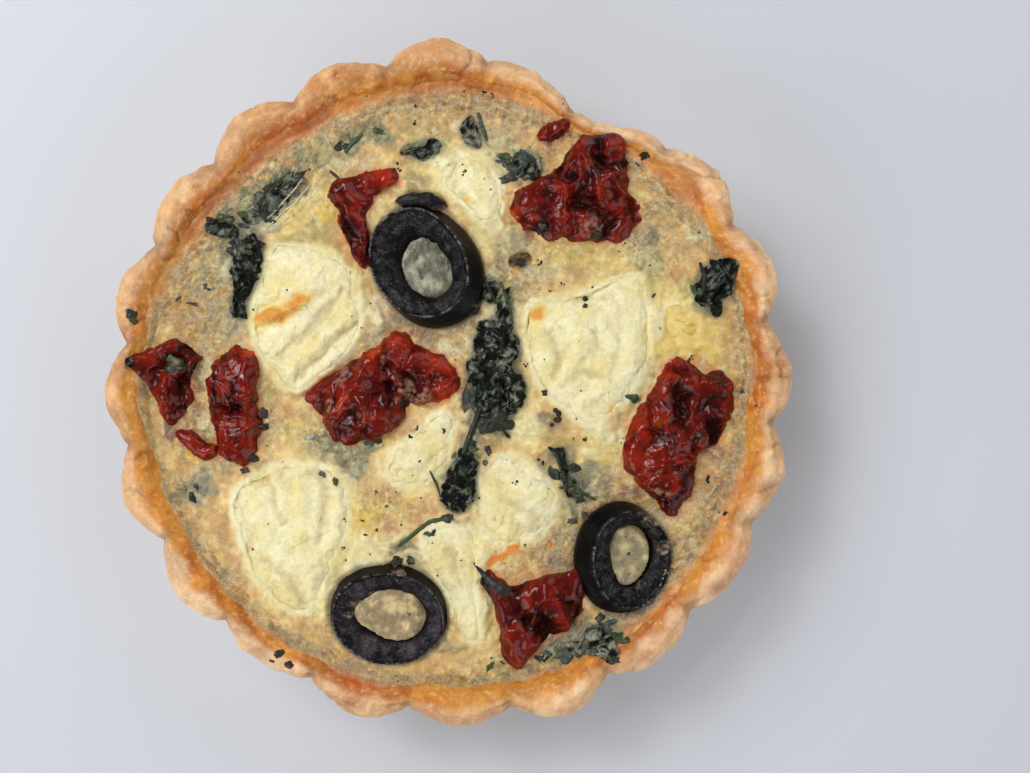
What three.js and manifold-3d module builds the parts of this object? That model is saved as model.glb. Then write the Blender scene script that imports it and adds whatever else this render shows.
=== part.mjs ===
// A small baked quiche: a fluted shortcrust case filled with set custard, and on it
// lumps of soft cheese, dried tomato, rings of black olive, cooked spinach and pepper.
// Millimetres, +Z up, origin on the surface it stands on, under the middle of its box.
import * as THREE from "three";
import { mergeVertices } from "three/addons/utils/BufferGeometryUtils.js";
import Module from "manifold-3d";

const wasm = await Module();
wasm.setup();

// ---------------------------------------------------------------- driving dimensions

const HEIGHT = 26.5; // from the base to the crest of the rim
const RIM_RADIUS = 52.2; // mean radius of the case at its widest line
const WIDEST_HEIGHT = 22.6; // height of that widest line
const BASE_RADIUS = 43.4; // the case tapers down to this
const CREST_RADIUS = 49.8; // where the rounded rim is highest
const CUSTARD_RADIUS = 46.3; // where the custard meets the case
const CUSTARD_LEVEL = 23.2; // mean height of the custard's surface
const FLOOR_THICKNESS = 4; // pastry under the custard
const FLOOR_RADIUS = 38.6; // inner radius of the case at its floor
const GAP = 0.3; // clearance between pieces that touch

const FLUTES = 20;
const FLUTE_DEPTH = 2.6; // from the crest of a flute to the valley beside it
const FIRST_FLUTE = 2; // degrees from +X, anticlockwise
const STEPS_PER_FLUTE = 6;
const LOPSIDED = { reach: 0.55, towards: 317 }; // the case bulges this far to one side

// Stretches of the rim that depart from the regular fluting: reach and height are added
// there, and flutes scales the fluting (-1 takes it away). Angle and width in degrees.
const RIM_CHANGES = [
  { angle: 4, width: 8, reach: -0.6, height: 0, flutes: 0 },
  { angle: 61, width: 11, reach: -5.1, height: -3.1, flutes: -1 },
  { angle: 75, width: 8, reach: -0.5, height: -0.9, flutes: -0.8 },
  { angle: 92, width: 7, reach: 0.4, height: 0.2, flutes: 0 },
  { angle: 112, width: 9, reach: -0.5, height: 0, flutes: 0 },
  { angle: 150, width: 7, reach: 0.1, height: 0.3, flutes: -0.45 },
  { angle: 175, width: 16, reach: 0.4, height: 0, flutes: -0.1 },
  { angle: 239, width: 9, reach: -0.9, height: -0.8, flutes: -0.75 },
  { angle: 271, width: 8, reach: -0.7, height: 0, flutes: 0 },
  { angle: 290, width: 8, reach: 0.6, height: 0.2, flutes: 0 },
  { angle: 310, width: 14, reach: 0.3, height: 0, flutes: -0.2 },
  { angle: 335, width: 8, reach: 0.6, height: -0.2, flutes: -0.65 },
];
const CREST_WANDER = { height: 0.45, length: 0.9, seed: 4 }; // the crest's ups and downs
const FLUTE_VALLEY = 0.2; // how rounded the valleys between the flutes are
const THICK_SIDE = { angle: 120, width: 38, reach: -1.4 }; // the custard is narrower here
const INNER_FLUTE_DEPTH = 0.3; // the fluting hardly shows on the inside
const INNER_WEAR = 0.25; // share of a rim change that reaches the inside
const CUSTARD_SWELL = { height: 0.3, length: 26, seed: 5 };
const CUSTARD_CLIMB = 0.25; // how far the custard rises towards the case

// ---------------------------------------------------------------- toppings

// Every outline is a closed curve through [x, y] points, seen from above. depth is how far
// the piece reaches below its widest line, rise how far above it, sink how far that line
// lies under the custard's surface; fold and foldLength make its surface uneven. heart is
// a point that the whole outline can be seen from, where that isn't its middle.
const CHEESE = { sides: 20, depth: 2.6, rise: 1.9, sink: 0.5, fold: 0.35, foldLength: 9 };
const TOMATO = { sides: 22, depth: 0.9, rise: 2.3, sink: 0.2, fold: 0.6, foldLength: 6 };
const LEAF = { sides: 14, depth: 0.6, rise: 0.9, sink: -0.15, fold: 0.5, foldLength: 5,
  thin: true };

const RINGS_ABOVE = [0.45, 0.84]; // rings of vertices, as shares of the way to the outline
const RINGS_BELOW = [0.8];
const EDGE_ROUNDNESS = 0.35; // smaller makes the pieces' edges blunter

const CHEESE_LUMPS = {
  cheese_upper_left: { seed: 1, rise: 2.4, outline: [[-28.6, 22], [-21, 22.2], [-14.4, 18.5],
    [-12.4, 10.8], [-14.8, 4.6], [-23.4, -2.4], [-29.5, 3], [-30.9, 11]] },
  cheese_right: { seed: 2, rise: 2.4, outline: [[12.2, 12.6], [22, 14.6], [30.4, 17.6],
    [31.8, 8], [30.2, -2], [25.6, -5], [23.6, -8.8], [18.2, -5.2], [12.2, 1.2]] },
  cheese_lower_left: { seed: 3, outline: [[-34.5, -16.4], [-24.6, -11.8], [-16.6, -13],
    [-14.8, -22], [-16.4, -28], [-19.6, -33], [-22, -37.2], [-29.2, -32.4], [-32.6, -25]] },
  cheese_lower_middle: { seed: 4, outline: [[5, -12.6], [11.4, -10.8], [16.2, -15],
    [17, -20.4], [12, -25.6], [5.6, -24.4], [3.9, -18.6]] },
  cheese_middle: { seed: 5, sides: 16, rise: 1.5, outline: [[1, -3.8], [1.2, -9.4], [-3.2, -16.6],
    [-9.2, -16.4], [-10.4, -12.4], [-4.4, -6]] },
  cheese_bottom: { seed: 6, sides: 20, rise: 1.5, outline: [[-1.6, -20.8], [3.2, -21.4],
    [5.2, -26], [4.6, -33], [6.2, -39.6], [3, -41.6], [0.6, -36], [-1.2, -30.6], [-5.6, -25.6]] },
  cheese_top: { seed: 7, sides: 20, rise: 1.4, outline: [[-1, 35.4], [5.8, 35.6], [8.2, 31],
    [8.4, 24.6], [5.4, 23], [3, 27], [-1.6, 30.8]] },
  cheese_far_right: { seed: 8, sides: 12, rise: 1.1, outline: [[33.4, 12.6], [37.2, 12.4],
    [40.2, 8.6], [37.6, 5.4], [33.8, 5.4]] },
};

const TOMATO_PIECES = {
  tomato_top_right: { seed: 11, rise: 3, outline: [[9, 26.2], [16, 33.4], [21.8, 38.6], [25.6, 38.4],
    [28.4, 34.6], [27.6, 30.6], [30.2, 26.2], [27, 22.2], [15.2, 22.6]] },
  tomato_scrap: { seed: 12, sides: 10, rise: 1.5, fold: 0.3, outline: [[13, 38], [15.2, 40.1],
    [18, 41.2], [18.6, 39.8], [16.6, 37.6]] },
  tomato_upper_left: { seed: 13, sides: 20, rise: 2, heart: [-15, 29.4], outline: [
    [-18.4, 30.2], [-15.4, 31.9], [-9.8, 32.8], [-7.8, 32.2], [-11.2, 30.2], [-13.3, 27],
    [-13, 22], [-12.4, 16.8], [-15, 19.6], [-17.4, 25.2]] },
  tomato_middle: { seed: 14, sides: 26, rise: 2.9, outline: [[-22, -1.4], [-16.4, 2.2], [-11.2, 5.2],
    [-6.8, 8.6], [-4.8, 6.4], [0, 3], [2, 0.2], [-0.2, -3.2], [-4, -3], [-9, -6.8],
    [-15.4, -9.4], [-19.6, -6]] },
  tomato_far_left: { seed: 15, rise: 2.2, outline: [[-49, 3.4], [-46.6, 5.2], [-43.4, 6.6],
    [-38.4, 5], [-39.6, -1], [-41.2, -6.4], [-43.4, -6.6], [-45.6, -1.6]] },
  tomato_left: { seed: 16, rise: 2.6, outline: [[-35.2, 4.8], [-29.8, 5.2], [-29.9, -2],
    [-29, -7.8], [-31.6, -12.8], [-35.4, -11], [-36.6, -5]] },
  tomato_link: { seed: 17, sides: 10, rise: 1, fold: 0.2, outline: [[-42, -7.4], [-37.2, -8.8],
    [-35.9, -11.4], [-38.8, -10.6]] },
  tomato_right: { seed: 18, sides: 24, rise: 2.9, outline: [[34, 4.2], [39, 2.6], [44.4, 0.8],
    [43.6, -4.6], [42.6, -9.2], [39.4, -10], [37.6, -16], [34.8, -20.8], [29.4, -15.2],
    [26.7, -11.4], [29.4, -4.8], [32, -1]] },
  tomato_bottom: { seed: 19, rise: 2.5, outline: [[4.6, -28.9], [8.6, -31.4], [15.4, -31],
    [20, -29.8], [20.2, -33.8], [14.4, -39.4], [9.2, -44], [8.2, -38.6], [7, -33]] },
};

const SPINACH_LEAVES = {
  spinach_middle: { seed: 21, sides: 22, rise: 1.7, depth: 1, outline: [[8.4, 15.6], [9.8, 15],
    [10, 10.4], [11, 7.4], [10.6, 1], [11.8, -2.4], [8.6, -8.2], [5.2, -6.8], [2.9, -2.6],
    [3, 3], [5.2, 8.6], [8, 11.6]] },
  spinach_lower: { seed: 22, rise: 1.3, outline: [[2.8, -9], [4.9, -8.6], [3.9, -12], [4.6, -17.4],
    [0.6, -21], [-1.4, -18.6], [0.2, -14]] },
  spinach_top_left: { seed: 23, outline: [[-31.4, 24.6], [-29, 30.4], [-22.2, 32.6],
    [-24, 28.6], [-28, 25.4]] },
  spinach_edge_left: { seed: 24, sides: 10, outline: [[-37.4, 24.6], [-33.6, 25.6],
    [-32.6, 23.8], [-34.8, 21.8]] },
  spinach_left: { seed: 25, sides: 16, rise: 1.2, outline: [[-33, 21.6], [-28.9, 23.2],
    [-29, 18], [-30.2, 13.4], [-31, 8.8], [-33.4, 9.8], [-33.2, 15]] },
  spinach_top: { seed: 26, sides: 12, outline: [[-7, 35.8], [-5, 37.8], [-1.6, 38],
    [-1.4, 36], [-4.2, 34.6]] },
  spinach_top_middle: { seed: 33, sides: 12, outline: [[2.4, 42], [4, 41.4], [5.6, 37.4],
    [4, 36.8], [2.2, 39]] },
  spinach_by_olive: { seed: 34, sides: 10, outline: [[6.6, 17.4], [7.6, 15.8], [6.8, 12.8],
    [5.2, 13.4], [5.4, 15.8]] },
  spinach_top_right: { seed: 27, sides: 12, outline: [[8.9, 33.8], [11, 36], [14.4, 35.4],
    [14.2, 32.8], [11.2, 31.2]] },
  spinach_right: { seed: 28, rise: 1.4, outline: [[37.8, 14], [39.6, 17.4],
    [44, 19.2], [44.4, 14.6], [41.6, 11.4]] },
  spinach_lower_right: { seed: 29, outline: [[15.4, -9.8], [18, -10.4], [19.6, -14.8],
    [21.4, -17.6], [19.4, -18.8], [17.8, -14.4]] },
  spinach_bottom: { seed: 30, rise: 1.3, outline: [[17, -41.4], [19.8, -38.6],
    [23.6, -37.2], [26, -40], [25.2, -43.2], [21.4, -42.2]] },
};

// Rings of black olive. across is the half width along the ring's own x and y, turned by
// turn; hole sits at holeAt in the ring and comes to a point of length tip towards tipTurn;
// lean tips the ring by that many degrees, so that its top moves towards leanTo.
const OLIVE_RINGS = {
  olive_top: { at: [-3.6, 18.6], across: [7.7, 9.2], turn: 22, hole: [3.7, 4.2], holeAt: [0, -0.6],
    tip: 0.2, tipTurn: 100, height: 5.2, sink: 2.6, lean: 9, leanTo: 150 },
  olive_bottom_left: { at: [-9.3, -35.8], across: [9.2, 7.7], turn: -4, hole: [4.3, 3.5],
    holeAt: [1, 0], tip: 0.45, tipTurn: 176, height: 4.6, sink: 2.6, lean: 7, leanTo: 260 },
  olive_bottom_right: { at: [27.4, -26.9], across: [7.2, 8.7], turn: 6, hole: [3.2, 4.5],
    holeAt: [0.9, 0.3], tip: 0.4, tipTurn: 262, height: 5.6, sink: 3, lean: 14, leanTo: 340 },
};
const OLIVE_SIDES = 24;
const TIP_WIDTH = 26; // degrees
// Section of a ring: [share of the way from the hole to the skin, share of the height].
const OLIVE_SECTION = [[0.93, 0], [1, 0.52], [0.93, 1], [0.8, 0.97], [0.3, 0.84], [0, 0.6],
  [0, 0.06]];
const OLIVE_POCKET_SECTION = [[1, 0], [1, 1], [0, 1], [0, 0]];
const OLIVE_SCRAPS = {
  olive_sliver: { seed: 31, sides: 12, rise: 1.2, depth: 1, sink: 0.1, fold: 0.1, foldLength: 6,
    outline: [[-8.8, 28.4], [-5.2, 30.2], [-1.4, 29.6], [0.6, 27.6], [-4, 27.4]] },
  olive_scrap: { seed: 32, sides: 10, rise: 1, depth: 0.8, sink: 0.2, fold: 0.1, foldLength: 6,
    outline: [[9, 18.6], [10.6, 20.3], [13, 20], [12.4, 18.4]] },
};

// Coarse pepper baked into the custard: [x, y, radius], the largest grains.
const PEPPER_GRAINS = [[16.4, -6.4, 1.1], [29.6, 33.9, 0.9], [40.2, -15.2, 0.8], [38, 4, 0.6],
  [-5.6, 40.4, 0.7], [5.2, 44.2, 0.7], [45.4, -1.4, 0.6], [2.2, 44.6, 0.6], [-0.2, 39.4, 0.5],
  [-12, -23, 0.6], [21.4, -8.8, 0.6], [10.4, -28.6, 0.6], [15.8, 15.4, 0.5], [33, 14.4, 0.5],
  [-27.6, -5.4, 0.6], [-22.6, -8.2, 0.5], [35.2, 19.8, 0.5], [-10.4, 37.4, 0.5]];

const LOOKS = {
  crust: { color: "#d9a566", roughness: 0.75 },
  custard: { color: "#d8c48a", roughness: 0.45 },
  cheese: { color: "#efe6b4", roughness: 0.55 },
  tomato: { color: "#7d1c10", roughness: 0.35 },
  olive: { color: "#1d1920", roughness: 0.4 },
  spinach: { color: "#1f3323", roughness: 0.5 },
};

// ---------------------------------------------------------------- helpers

const radians = THREE.MathUtils.degToRad;
const TURN = 2 * Math.PI;

// 1 at the middle angle, falling smoothly to 0 a couple of widths away; all in degrees.
function bump(angle, middle, width) {
  const apart = THREE.MathUtils.euclideanModulo(angle - middle + 180, 360) - 180;
  return Math.exp(-((apart / width) ** 2));
}

// A smooth uneven field between -1 and 1: three crossing waves set by the seed.
function unevenness(x, y, length, seed) {
  const waves = [0, 1, 2].map((k) => {
    const heading = seed * 1.7 + k * 2.1;
    const along = x * Math.cos(heading) + y * Math.sin(heading);
    return Math.sin((along * TURN * (1 + 0.37 * k)) / length + seed * (k + 1));
  });
  return (waves[0] + waves[1] + waves[2]) / waves.length;
}

// A closed geometry as a manifold solid: shared vertices merged, collapsed faces dropped.
function solidOf(geometry) {
  geometry.deleteAttribute("normal");
  geometry.deleteAttribute("uv");
  const merged = mergeVertices(geometry, 1e-4);
  const faces = [];
  for (let i = 0; i < merged.index.count; i += 3) {
    const [a, b, c] = [0, 1, 2].map((k) => merged.index.getX(i + k));
    if (a !== b && b !== c && c !== a) {
      faces.push(a, b, c);
    }
  }
  const vertProperties = new Float32Array(merged.attributes.position.array);
  return new wasm.Manifold(new wasm.Mesh({
    numProp: 3, vertProperties, triVerts: new Uint32Array(faces),
  }));
}

function geometryOf(solid) {
  const { vertProperties, triVerts } = solid.getMesh();
  const geometry = new THREE.BufferGeometry();
  geometry.setAttribute("position", new THREE.BufferAttribute(vertProperties, 3));
  geometry.setIndex(new THREE.BufferAttribute(triVerts, 1));
  geometry.computeVertexNormals();
  return geometry;
}

function boxOf(geometry) {
  return new THREE.Box3().setFromBufferAttribute(geometry.attributes.position);
}

// Moves every vertex of a geometry to the place that the given function makes of it.
function moveVertices(geometry, place) {
  const positions = geometry.attributes.position;
  const point = new THREE.Vector3();
  for (let i = 0; i < positions.count; i += 1) {
    point.fromBufferAttribute(positions, i);
    place(point, i);
    positions.setXYZ(i, point.x, point.y, point.z);
  }
  return geometry;
}

// A surface of revolution about +Z from [radius, height] pairs that run from the bottom up
// the outside; place(k, angle) then gives the true radius and height of profile point k.
function lathe(profile, segments, place) {
  const points = profile.map(([radius, height]) => new THREE.Vector2(radius, height));
  const geometry = new THREE.LatheGeometry(points, segments);
  return moveVertices(geometry, (point, i) => {
    const segment = Math.floor(i / profile.length) % segments;
    const angle = (segment / segments) * TURN;
    const { radius, height } = place(i % profile.length, angle);
    point.set(radius * Math.cos(angle), radius * Math.sin(angle), height);
  });
}

// ---------------------------------------------------------------- pastry case

// What the changed stretches of the rim add up to at an angle.
function rimChange(degrees) {
  const total = { reach: 0, height: 0, flutes: 1 };
  for (const change of RIM_CHANGES) {
    const share = bump(degrees, change.angle, change.width);
    total.reach += change.reach * share;
    total.height += change.height * share;
    total.flutes += change.flutes * share;
  }
  return total;
}

// Round lobes with narrower valleys between them: from -0.5 in a valley to 0.5 on a lobe.
function fluting(degrees) {
  const wave = Math.cos(radians(((degrees - FIRST_FLUTE) * FLUTES) / 2));
  const lobe = Math.hypot(wave, FLUTE_VALLEY) - FLUTE_VALLEY;
  return lobe / (Math.hypot(1, FLUTE_VALLEY) - FLUTE_VALLEY) - 0.5;
}

// How far the widest line of the case lies outside (+) or inside (-) its mean radius.
function outerShift(degrees) {
  const change = rimChange(degrees);
  const bulge = LOPSIDED.reach * Math.cos(radians(degrees - LOPSIDED.towards));
  return bulge + change.reach + FLUTE_DEPTH * Math.max(change.flutes, 0) * fluting(degrees);
}

// The same for the line where custard and case meet.
function innerShift(degrees) {
  const thick = THICK_SIDE.reach * bump(degrees, THICK_SIDE.angle, THICK_SIDE.width);
  const wear = INNER_WEAR * rimChange(degrees).reach;
  return thick + wear + INNER_FLUTE_DEPTH * fluting(degrees);
}

function crestLift(degrees) {
  const { height, length, seed } = CREST_WANDER;
  const wander = unevenness(Math.cos(radians(degrees)), Math.sin(radians(degrees)), length, seed);
  return rimChange(degrees).height + height * wander;
}

// Profile of the case. outer and inner say how much of outerShift and innerShift a point
// takes, lift how much of crestLift.
function caseProfile() {
  const outside = (height) => {
    const share = height / WIDEST_HEIGHT;
    return BASE_RADIUS + (RIM_RADIUS - BASE_RADIUS) * share ** 0.9;
  };
  const inside = (height) => {
    const share = (height - FLOOR_THICKNESS) / (CUSTARD_LEVEL - FLOOR_THICKNESS);
    return FLOOR_RADIUS + (CUSTARD_RADIUS - FLOOR_RADIUS) * share;
  };
  return [
    { radius: 0, height: 0, outer: 0, inner: 0, lift: 0 },
    { radius: BASE_RADIUS - 1.4, height: 0, outer: 0.35, inner: 0, lift: 0 },
    { radius: outside(1.6), height: 1.6, outer: 0.5, inner: 0, lift: 0 },
    { radius: outside(9), height: 9, outer: 0.7, inner: 0, lift: 0 },
    { radius: outside(16.5), height: 16.5, outer: 0.88, inner: 0, lift: 0 },
    { radius: RIM_RADIUS, height: WIDEST_HEIGHT, outer: 1, inner: 0, lift: 0.4 },
    { radius: RIM_RADIUS - 0.5, height: HEIGHT - 1.6, outer: 0.95, inner: 0, lift: 0.8 },
    { radius: CREST_RADIUS, height: HEIGHT, outer: 0.75, inner: 0.2, lift: 1 },
    { radius: CREST_RADIUS - 1.9, height: HEIGHT - 1, outer: 0.35, inner: 0.6, lift: 0.9 },
    { radius: CUSTARD_RADIUS, height: CUSTARD_LEVEL, outer: 0, inner: 1, lift: 0 },
    { radius: inside(12), height: 12, outer: 0, inner: 0.5, lift: 0 },
    { radius: FLOOR_RADIUS, height: FLOOR_THICKNESS, outer: 0, inner: 0, lift: 0 },
    { radius: 0, height: FLOOR_THICKNESS, outer: 0, inner: 0, lift: 0 },
  ];
}

// The pastry case; grow thickens it from the custard's edge to the crest, for cutting.
function pastryCase(grow = 0) {
  const profile = caseProfile();
  const rim = profile.findIndex((point) => point.height === HEIGHT);
  return lathe(profile.map(({ radius, height }) => [radius, height]), FLUTES * STEPS_PER_FLUTE,
    (k, angle) => {
      const point = profile[k];
      const degrees = THREE.MathUtils.radToDeg(angle);
      const thicker = k > rim ? grow : 0;
      return {
        radius: point.radius + point.outer * outerShift(degrees)
          + point.inner * innerShift(degrees) - Math.min(thicker, point.radius),
        height: point.height + point.lift * crestLift(degrees) + (k >= rim ? grow : 0),
      };
    });
}

// ---------------------------------------------------------------- custard

function custardHeight(x, y) {
  const { height, length, seed } = CUSTARD_SWELL;
  const climb = CUSTARD_CLIMB * Math.min(Math.hypot(x, y) / CUSTARD_RADIUS, 1) ** 6;
  return CUSTARD_LEVEL + height * unevenness(x, y, length, seed) + climb;
}

// Height of the surface that a topping lies on: the custard, or the slope of the rim.
function surfaceHeight(x, y) {
  const degrees = THREE.MathUtils.radToDeg(Math.atan2(y, x));
  const onRim = Math.hypot(x, y) - (CUSTARD_RADIUS + innerShift(degrees));
  const custard = custardHeight(x, y);
  const slope = (HEIGHT - CUSTARD_LEVEL) / (CREST_RADIUS - CUSTARD_RADIUS);
  const crest = HEIGHT + crestLift(degrees);
  return custard + Math.min(Math.max(onRim, 0) * slope, Math.max(crest - custard, 0));
}

function custard() {
  const rings = [0.92, 0.78, 0.63, 0.48, 0.32, 0.16, 0];
  const edge = CUSTARD_RADIUS - 1.2 * GAP;
  const profile = [
    [0, FLOOR_THICKNESS + GAP],
    [FLOOR_RADIUS - 1.5 * GAP, FLOOR_THICKNESS + GAP],
    [(edge + FLOOR_RADIUS) / 2 - GAP, (CUSTARD_LEVEL + FLOOR_THICKNESS) / 2],
    [edge, CUSTARD_LEVEL],
    ...rings.map((share) => [edge * share, CUSTARD_LEVEL]),
  ];
  const inner = [0, 0, 0.5, 1]; // how much of innerShift the first points take
  return lathe(profile, FLUTES * 2, (k, angle) => {
    const shift = innerShift(THREE.MathUtils.radToDeg(angle));
    const share = k < inner.length ? inner[k] : rings[k - inner.length];
    const radius = profile[k][0] + share * shift;
    const onTop = k >= inner.length - 1;
    const top = custardHeight(radius * Math.cos(angle), radius * Math.sin(angle));
    return { radius, height: onTop ? top : profile[k][1] };
  });
}

// ---------------------------------------------------------------- toppings

// Evenly spaced points of a closed curve through the given [x, y] points, moved outwards
// by grow; they run anticlockwise.
function outlinePoints(outline, sides, grow) {
  const knots = outline.map(([x, y]) => new THREE.Vector3(x, y, 0));
  if (THREE.ShapeUtils.isClockWise(knots)) {
    knots.reverse();
  }
  const curve = new THREE.CatmullRomCurve3(knots, true, "centripetal");
  const points = curve.getSpacedPoints(sides).slice(0, sides);
  return points.map((point, i) => {
    const before = points[(i + sides - 1) % sides];
    const after = points[(i + 1) % sides];
    const outward = new THREE.Vector2(after.y - before.y, before.x - after.x).normalize();
    return new THREE.Vector2(point.x + outward.x * grow, point.y + outward.y * grow);
  });
}

// A lump, scrap or leaf that lies on the surface: rings of vertices from its middle out to
// the widest line, above and below. A leaf's two faces are split in the same pattern.
function piece(shape) {
  const line = outlinePoints(shape.outline, shape.sides, 0);
  const middle = new THREE.Vector2();
  if (shape.heart) {
    middle.fromArray(shape.heart);
  } else {
    line.forEach((point) => middle.addScaledVector(point, 1 / line.length));
  }
  const positions = [];
  const vertex = (point, share, reach) => {
    const thickness = (1 - share ** 2) ** EDGE_ROUNDNESS;
    const fold = shape.fold * unevenness(point.x, point.y, shape.foldLength, shape.seed);
    const level = surfaceHeight(point.x, point.y) - shape.sink;
    positions.push(point.x, point.y, level + fold * Math.min(1, 2 * thickness) + reach * thickness);
  };
  const sides = line.length;
  const faces = [];
  const face = (a, b, c, upward) => faces.push(...(upward ? [a, b, c] : [a, c, b]));
  line.forEach((point) => vertex(point, 1, 0));
  const side = (rings, reach, upward) => {
    const start = positions.length / 3;
    vertex(middle, 0, reach);
    for (const share of rings) {
      line.forEach((point) => vertex(middle.clone().lerp(point, share), share, reach));
    }
    for (let i = 0; i < sides; i += 1) {
      const next = (i + 1) % sides;
      face(start, start + 1 + i, start + 1 + next, upward);
      for (let ring = 0; ring < rings.length; ring += 1) {
        const near = start + 1 + ring * sides;
        const far = ring + 1 < rings.length ? near + sides : 0;
        face(near + i, far + i, far + next, upward);
        face(near + i, far + next, near + next, upward);
      }
    }
  };
  side(RINGS_ABOVE, shape.rise, true);
  side(shape.thin ? RINGS_ABOVE : RINGS_BELOW, -shape.depth, false);
  const geometry = new THREE.BufferGeometry();
  geometry.setAttribute("position", new THREE.Float32BufferAttribute(positions, 3));
  geometry.setIndex(faces);
  return geometry;
}

// The pocket that a piece lies in, with the gap round it, and open to above.
function pocket(shape) {
  const line = outlinePoints(shape.outline, shape.sides, GAP);
  const geometry = new THREE.ExtrudeGeometry(new THREE.Shape(line), {
    depth: HEIGHT, bevelEnabled: false,
  });
  const lowest = Math.min(...line.map(({ x, y }) => surfaceHeight(x, y)));
  geometry.translate(0, 0, lowest - shape.sink - shape.depth - shape.fold - GAP);
  return geometry;
}

// A ring of olive lying in the custard; the hole leaves custard standing in its middle.
function oliveRing(ring, section = OLIVE_SECTION, grow = 0) {
  const closed = [...section, section[0]];
  const profile = closed.map(([out, up]) => [out + 1, up]);
  const [holeX, holeY] = ring.holeAt;
  const geometry = lathe(profile, OLIVE_SIDES, () => ({ radius: 1, height: 0 }));
  moveVertices(geometry, (point, i) => {
    const [out, up] = closed[i % closed.length];
    const angle = Math.atan2(point.y, point.x);
    const towardsTip = bump(THREE.MathUtils.radToDeg(angle), ring.tipTurn - ring.turn, TIP_WIDTH);
    const pointed = 1 + ring.tip * towardsTip;
    const skin = new THREE.Vector2((ring.across[0] + grow) * Math.cos(angle),
      (ring.across[1] + grow) * Math.sin(angle));
    const hole = new THREE.Vector2((ring.hole[0] * pointed - grow) * Math.cos(angle) + holeX,
      (ring.hole[1] * pointed - grow) * Math.sin(angle) + holeY);
    const place = hole.lerp(skin, out);
    point.set(place.x, place.y, up * (ring.height + 2 * grow) - grow);
  });
  const axis = new THREE.Vector3(-Math.sin(radians(ring.leanTo)), Math.cos(radians(ring.leanTo)), 0);
  geometry.translate(0, 0, -ring.height / 2);
  geometry.rotateZ(radians(ring.turn));
  geometry.applyMatrix4(new THREE.Matrix4().makeRotationAxis(axis, radians(ring.lean)));
  const [x, y] = ring.at;
  geometry.translate(x, y, custardHeight(x, y) + ring.height / 2 - ring.sink);
  return geometry;
}

function olivePocket(ring) {
  return oliveRing(ring, OLIVE_POCKET_SECTION, GAP);
}

function pepperGrain([x, y, radius]) {
  const grain = new THREE.IcosahedronGeometry(radius, 0);
  grain.rotateX(x);
  grain.rotateY(y);
  grain.translate(x, y, custardHeight(x, y) + 0.3 * radius);
  return grain;
}

// ---------------------------------------------------------------- assembly

// Pieces in the order in which they lie on each other, the top ones first.
function toppings() {
  const made = [];
  const add = (table, base, look, build, hollow) => {
    for (const [name, sizes] of Object.entries(table)) {
      const shape = { ...base, ...sizes };
      made.push({ name, look, solid: solidOf(build(shape)), cutter: hollow(shape) });
    }
  };
  add(OLIVE_RINGS, {}, "olive", (ring) => oliveRing(ring), olivePocket);
  add(OLIVE_SCRAPS, {}, "olive", piece, pocket);
  add(TOMATO_PIECES, TOMATO, "tomato", piece, pocket);
  add(SPINACH_LEAVES, LEAF, "spinach", piece, pocket);
  add(CHEESE_LUMPS, CHEESE, "cheese", piece, pocket);
  return made;
}

// Takes the cutters that reach a solid away from it.
function cutBy(solid, cutters) {
  let rest = solid;
  const own = boxOf(geometryOf(solid));
  for (const cutter of cutters) {
    if (boxOf(cutter).intersectsBox(own)) {
      rest = rest.subtract(solidOf(cutter.clone()));
    }
  }
  return rest;
}

function meshOf(name, look, solid) {
  const material = new THREE.MeshStandardMaterial({ ...LOOKS[look], metalness: 0 });
  const mesh = new THREE.Mesh(geometryOf(solid), material);
  mesh.name = name;
  return mesh;
}

const group = new THREE.Group();
group.add(meshOf("crust", "crust", solidOf(pastryCase())));

const laid = [pastryCase(GAP)];
for (const { name, look, solid, cutter } of toppings()) {
  group.add(meshOf(name, look, cutBy(solid, laid)));
  laid.push(cutter);
}

let filling = cutBy(solidOf(custard()), laid.slice(1));
for (const grain of PEPPER_GRAINS) {
  filling = filling.add(solidOf(pepperGrain(grain)));
}
group.add(meshOf("filling", "custard", filling));

const box = new THREE.Box3().setFromObject(group);
const middle = box.getCenter(new THREE.Vector3());
group.position.set(-middle.x, -middle.y, -box.min.z);
group.updateMatrixWorld(true);

export default group;
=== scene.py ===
import math

import bmesh
import bpy
import numpy as np
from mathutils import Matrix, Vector
from mathutils.bvhtree import BVHTree


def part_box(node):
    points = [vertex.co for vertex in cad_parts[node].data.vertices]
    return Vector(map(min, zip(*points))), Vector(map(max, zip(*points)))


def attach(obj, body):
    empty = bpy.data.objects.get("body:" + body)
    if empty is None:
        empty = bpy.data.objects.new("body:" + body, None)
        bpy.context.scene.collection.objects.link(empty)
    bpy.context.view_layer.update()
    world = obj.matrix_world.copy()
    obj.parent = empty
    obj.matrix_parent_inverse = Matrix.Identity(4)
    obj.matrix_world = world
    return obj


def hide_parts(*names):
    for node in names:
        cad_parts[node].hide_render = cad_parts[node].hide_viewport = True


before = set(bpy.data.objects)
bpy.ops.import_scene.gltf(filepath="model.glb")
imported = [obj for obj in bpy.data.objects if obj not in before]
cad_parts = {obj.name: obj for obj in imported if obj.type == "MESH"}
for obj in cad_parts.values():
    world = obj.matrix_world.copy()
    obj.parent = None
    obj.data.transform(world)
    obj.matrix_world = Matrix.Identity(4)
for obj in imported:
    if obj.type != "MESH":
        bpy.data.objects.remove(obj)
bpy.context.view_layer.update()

# A baked quiche in its fluted shortcrust case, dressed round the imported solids.
# Lengths are millimetres until a mesh is made; Blender gets metres. Places that were judged
# in the photograph are pixels of it. Colours are sRGB from 0 to 255.
MM = 0.001

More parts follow.
